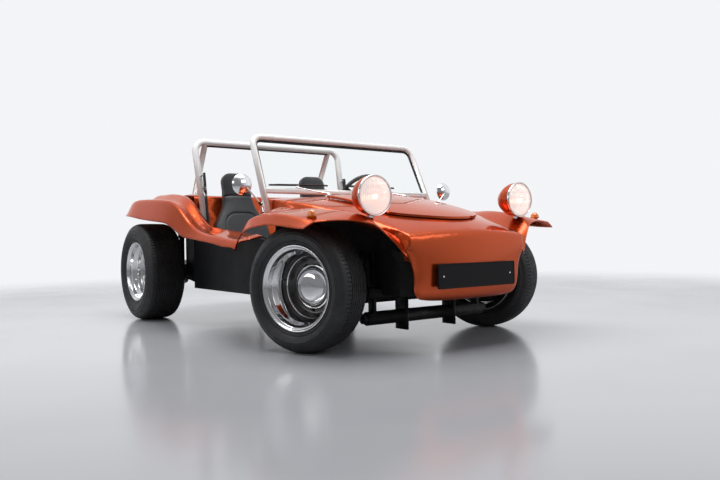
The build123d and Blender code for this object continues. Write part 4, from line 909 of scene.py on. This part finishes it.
# ---------- seat belts
# Ribbed black webbing on each side, from an eye on the roll bar down to a reel on the sill, with
# a bright slotted loop and a tongue part way down.
BELT_TOP_X, BELT_TOP_Z, BELT_RUN_X, BELT_DROP = -0.382, 0.998, 0.06, 0.396
BELT_Y, BELT_WIDE, BELT_THICK, LOOP_Y = 0.5612, 0.043, 0.0014, 0.5655
LOOPS = ((0.892, 0.026), (0.846, 0.024))  # height, half width
REEL_PLACE, REEL_SIZE = (-0.31, 0.5625, 0.57), (0.069, 0.0245, 0.0595)
webbing = finish("woven_webbing", (0.013, 0.013, 0.014), rough=0.75)
ribs = waves(webbing, "Z", 130)
raise_grain(webbing, ribs, 0.6, 0.0006)
blend_colours(webbing, ribs, (0.009, 0.009, 0.01), (0.022, 0.022, 0.024), 0.1, 0.9)
for side, name in SIDES:
    strap = bmesh.new()
    bmesh.ops.create_grid(strap, x_segments=4, y_segments=40, size=0.5)
    for vert in strap.verts:
        down = 0.5 - vert.co.y
        slack = 0.0022 * math.sin(down * math.pi * 3) + 0.0016 * math.sin(down * math.pi * 7 + 1)
        vert.co = Vector((BELT_TOP_X + BELT_RUN_X * down + vert.co.x * BELT_WIDE,
            side * (BELT_Y + abs(slack) * 0.35), BELT_TOP_Z - BELT_DROP * down))
    bmesh.ops.recalc_face_normals(strap, faces=strap.faces)
    bmesh.ops.solidify(strap, geom=strap.faces[:], thickness=BELT_THICK)
    strap = show(strap, f"belt_webbing_{name}", webbing, crease=40)
    fittings, y = [], side * LOOP_Y
    for z, wide in LOOPS:
        x = BELT_TOP_X + BELT_RUN_X * (BELT_TOP_Z - z) / BELT_DROP
        for lift in (-0.007, 0.007):
            fittings.append(rod((x - wide, y, z + lift), (x + wide, y, z + lift), 0.0022, 10))
        for end in (-wide, wide):
            fittings.append(rod((x + end, y, z - 0.008), (x + end, y, z + 0.008), 0.0026, 10))
    fittings += [rod((-0.384, side * 0.56, 0.985), (-0.4222, side * 0.5668, 0.9767), 0.0064, 6),
        rod((-0.379, side * 0.5665, 0.868), (-0.357, side * 0.5665, 0.842), 0.0045, 12)]
    fittings = show(joined(fittings), f"belt_fittings_{name}", zinc, crease=40)
    reel = block((REEL_PLACE[0], side * REEL_PLACE[1], REEL_PLACE[2]), REEL_SIZE)
    reel = show(rounded(reel, reel.edges[:], 0.005, 3), f"belt_reel_{name}", moulded_black, crease=40)
    mount("webbing", strap)
    mount("black_trim", fittings, reel)
    if side < 0:
        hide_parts("seat_belts")

# ---------- steering wheel and column
# Leather-bound rim on three drilled alloy spokes round a padded boss, on a black column tube.
WHEEL_CENTRE, WHEEL_TILT = Vector((0.215, 0.29, 0.79)), math.radians(28)
WHEEL_R, WHEEL_TUBE = 0.18, 0.0128
BOSS = [(0.0, -0.0235), (0.022, -0.024), (0.032, -0.0262), (0.037, -0.03), (0.038, -0.036), (0.038, -0.053),
    (0.0, -0.053)]
SPOKE_SIZE, SPOKE_TURNS = (0.146, 0.0034, 0.026), (90, 210, 330)
SPOKE_HOLES = ((-0.028, 0.007), (-0.006, 0.008), (0.018, 0.009))  # along the spoke, radius
grip_leather = finish("grip_leather", (0.013, 0.012, 0.012))
raise_grain(grip_leather, cells(grip_leather, 700), 0.3, 0.0004)
chassis_enamel = finish("chassis_enamel", (0.012, 0.012, 0.013), rough=0.42, roughs=(35, 3, 0.38, 0.66),
    colours=(18, 5, (0.0075, 0.0075, 0.008), (0.022, 0.02, 0.018), 0.48, 0.85), grain=(380, 3, 0.2, 0.0003),
    sockets={"Specular IOR Level": 0.3})
to_driver = Vector((-math.cos(WHEEL_TILT), 0, math.sin(WHEEL_TILT)))
wheel_up = Vector((math.sin(WHEEL_TILT), 0, math.cos(WHEEL_TILT)))
wheel_place = standing(across, to_driver, wheel_up, WHEEL_CENTRE)
ring = [(WHEEL_R + WHEEL_TUBE * math.cos(turn), WHEEL_TUBE * math.sin(turn))
    for turn in (math.tau * k / 20 for k in range(20))]
grip = show(moved(spun(ring, 120), wheel_place), "steering_grip", grip_leather)
boss = show(moved(spun(BOSS, 64, closed=False), wheel_place), "steering_boss", grip_leather, crease=40)
spokes, drilled = [], []
for turn in SPOKE_TURNS:
    spoke = block((0, 0, 0), SPOKE_SIZE)
    rounded(spoke, [e for e in spoke.edges if abs(edge_span(e).x) > 0.1], 0.0012, 2)
    spoke_place = turned("Y", turn) @ shift(0.101, -0.0145, 0) @ turned("Z", 10)
    spokes.append(moved(spoke, spoke_place))
    for along, radius in SPOKE_HOLES:
        drilled.append(moved(rod((along, -0.01, 0), (along, 0.01, 0), radius, 24), spoke_place))
spokes = show(joined(spokes), "steering_spokes", alloy, smooth=False)
cut_by(spokes, joined(drilled))
spokes.data.transform(wheel_place)
for piece in (grip, boss, spokes):
    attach(piece, "steering_wheel")
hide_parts("steering_wheel")
dress("steering_column", chassis_enamel, crease=40)


# ---------- dashboard and hand controls
# Padded black panel under the scuttle; chromed gear lever with a round knob, pull-up brake
# lever between the seats and three rubber-faced pedals.
def bright_part(centre):
    """True on the gear lever under its knob and on the brake lever, which are chromed."""
    gear_lever = 0.066 < centre.x < 0.11 and centre.z < 0.548
    brake_lever = -0.07 < centre.x < 0.03 and centre.z < 0.42 and abs(centre.y) < 0.02
    return gear_lever or brake_lever


PEDALS_Y, PEDAL_FACE_X, PEDAL_HALF = (0.19, 0.275, 0.36), 0.5598, 0.025
TREAD_LOW, TREAD_PITCH = 0.336, 0.0115
dress("dashboard", leathercloth)
controls = dress("hand_and_foot_controls", moulded_black, crease=40)
paint_where(controls, chrome, bright_part)
treads = []
for y in PEDALS_Y:
    for z in (TREAD_LOW + k * TREAD_PITCH for k in range(6)):
        treads.append(rod((PEDAL_FACE_X, y - PEDAL_HALF, z), (PEDAL_FACE_X, y + PEDAL_HALF, z), 0.0024, 8))
treads = show(joined(treads), "pedal_treads", seal_rubber, crease=40)
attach(treads, "car")

# ---------- side panels, pan and front liner
# Satin black sheet folded up to the sills and screwed to a frame behind; the floor pan and the
# liner behind the front wheels are under a coarse black protective coat.
PANEL_FACE_Y = 0.5595
FIXINGS = ((-0.515, 0.58), (-0.515, 0.52), (-0.515, 0.46), (-0.515, 0.4), (-0.56, 0.61), (-0.61, 0.63),
           (-0.665, 0.64))  # x and z of each screw on its washer
satin_black = finish("satin_black_sheet", (0.0062, 0.0068, 0.0085), rough=0.42, roughs=(6, 3, 0.33, 0.47),
    grain=(240, 3, 0.1, 0.0003), sockets={"Specular IOR Level": 0.13})
dress("side_panels", satin_black)
dress("front_liner", stone_coat)
dress("floor_pan", stone_coat)
fixings = []
for side, _ in SIDES:
    for x, z in FIXINGS:
        for proud, radius, corners in ((0.005, 0.0062, 6), (0.0017, 0.0095, 20)):
            inner, outer = side * PANEL_FACE_Y, side * (PANEL_FACE_Y + proud)
            fixings.append(rod((x, inner, z), (x, outer, z), radius, corners))
fixings = show(joined(fixings), "panel_fixings", zinc, smooth=False)
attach(fixings, "car")

# ---------- front axle and steering
# Two cross tubes with trailing arms and upright towers, forged knuckles, the track rod between
# them and telescopic dampers: black enamel over steel, a little dusty.
dress("front_axle_beam", chassis_enamel, crease=40)
dress("front_suspension", chassis_enamel, crease=40)
for _, name in SIDES:
    dress(f"knuckle_{name}", drum_iron, 40, f"knuckle_{name}")
dress("track_rod", chassis_enamel, 40, "track_rod")

# ---------- rear axle and gearbox
# Swing axles on sprung trailing plates with tall dampers; ribbed cast gearbox in front of the
# engine.
cast_alloy = finish("sand_cast_alloy", (0.33, 0.32, 0.3), metallic=0.85, rough=0.52,
    roughs=(50, 3, 0.42, 0.66), colours=(24, 5, (0.25, 0.24, 0.225), (0.42, 0.41, 0.395)),
    grain=(420, 4, 0.45, 0.0006))
dress("rear_suspension", chassis_enamel, crease=40)
dress("gearbox", cast_alloy, crease=35)

# ---------- engine and exhaust
# Air-cooled flat four: cast crankcase, finned iron cylinders, pressed rocker covers, a black
# tinware shroud round the fan and a plain steel silencer with two tail pipes.
CYLINDER_IN, CYLINDER_OUT, COVER_Y, SHROUD_BACK_X = 0.132, 0.274, 0.3451, -1.216
PULLEYS = ((-1.355, 0.64, 0.0635), (-1.392, 0.33, 0.0875))  # middle x, z, radius
tin_black = finish("tinware_black", (0.013, 0.013, 0.014), rough=0.26, coat=0.5, roughs=(20, 3, 0.2, 0.36),
    grain=(300, 3, 0.06, 0.0003))
silencer_steel = finish("silencer_steel", (0.32, 0.3, 0.28), metallic=1.0, rough=0.42,
    roughs=(60, 3, 0.34, 0.58), colours=(11, 4, (0.36, 0.345, 0.33), (0.19, 0.15, 0.115), 0.42, 0.72))
engine = dress("engine_block", cast_alloy, crease=35)
paint_where(engine, drum_iron, lambda centre: CYLINDER_IN < abs(centre.y) < CYLINDER_OUT)
paint_where(engine, tin_black, lambda centre: abs(centre.y) > COVER_Y)
shroud = dress("fan_shroud", tin_black, crease=35)
paint_where(shroud, silencer_steel, lambda centre: centre.x < SHROUD_BACK_X)
pulley_rims = []
for middle_x, z, radius in PULLEYS:
    for x in (middle_x + 0.006, middle_x - 0.006):
        lip_r, foot_r = radius + 0.0012, radius - 0.006
        flange = spun([(foot_r, -0.0022), (lip_r, -0.0032), (lip_r, 0.0032), (foot_r, 0.0022)], 72)
        pulley_rims.append(moved(flange, shift(x, 0, z) @ turned("Z", 90)))
pulley_rims = show(joined(pulley_rims), "pulley_rims", silencer_steel, crease=30)
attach(pulley_rims, "car")
dress("exhaust", silencer_steel, crease=45)

# ---------- tail lamps
# Round red plastic lenses with fine rings, in chromed feet screwed to the tail panel, one at each
# side.
TAIL_Y, TAIL_Z, TAIL_LENS_R = 0.43, 0.775, 0.0452
red_lens = finish("red_lens", (0.5, 0.008, 0.006), rough=0.12, coat=0.8, grain=(260, 3, 0.3, 0.0008),
    sockets={"Transmission Weight": 0.15})
tails = dress("tail_lamps", red_lens, crease=35)
tail_axis = Vector((-0.135, 0, 0.047)).normalized()
tail_x = -1.262 + 0.047 * (TAIL_Z - 0.7) / 0.135


def on_foot(centre):
    """True on the chromed foot, which is wider than the lens."""
    off = centre - Vector((tail_x, math.copysign(TAIL_Y, centre.y), TAIL_Z))
    return (off - tail_axis * off.dot(tail_axis)).length > TAIL_LENS_R or off.dot(tail_axis) < 0.001


paint_where(tails, chrome, on_foot)
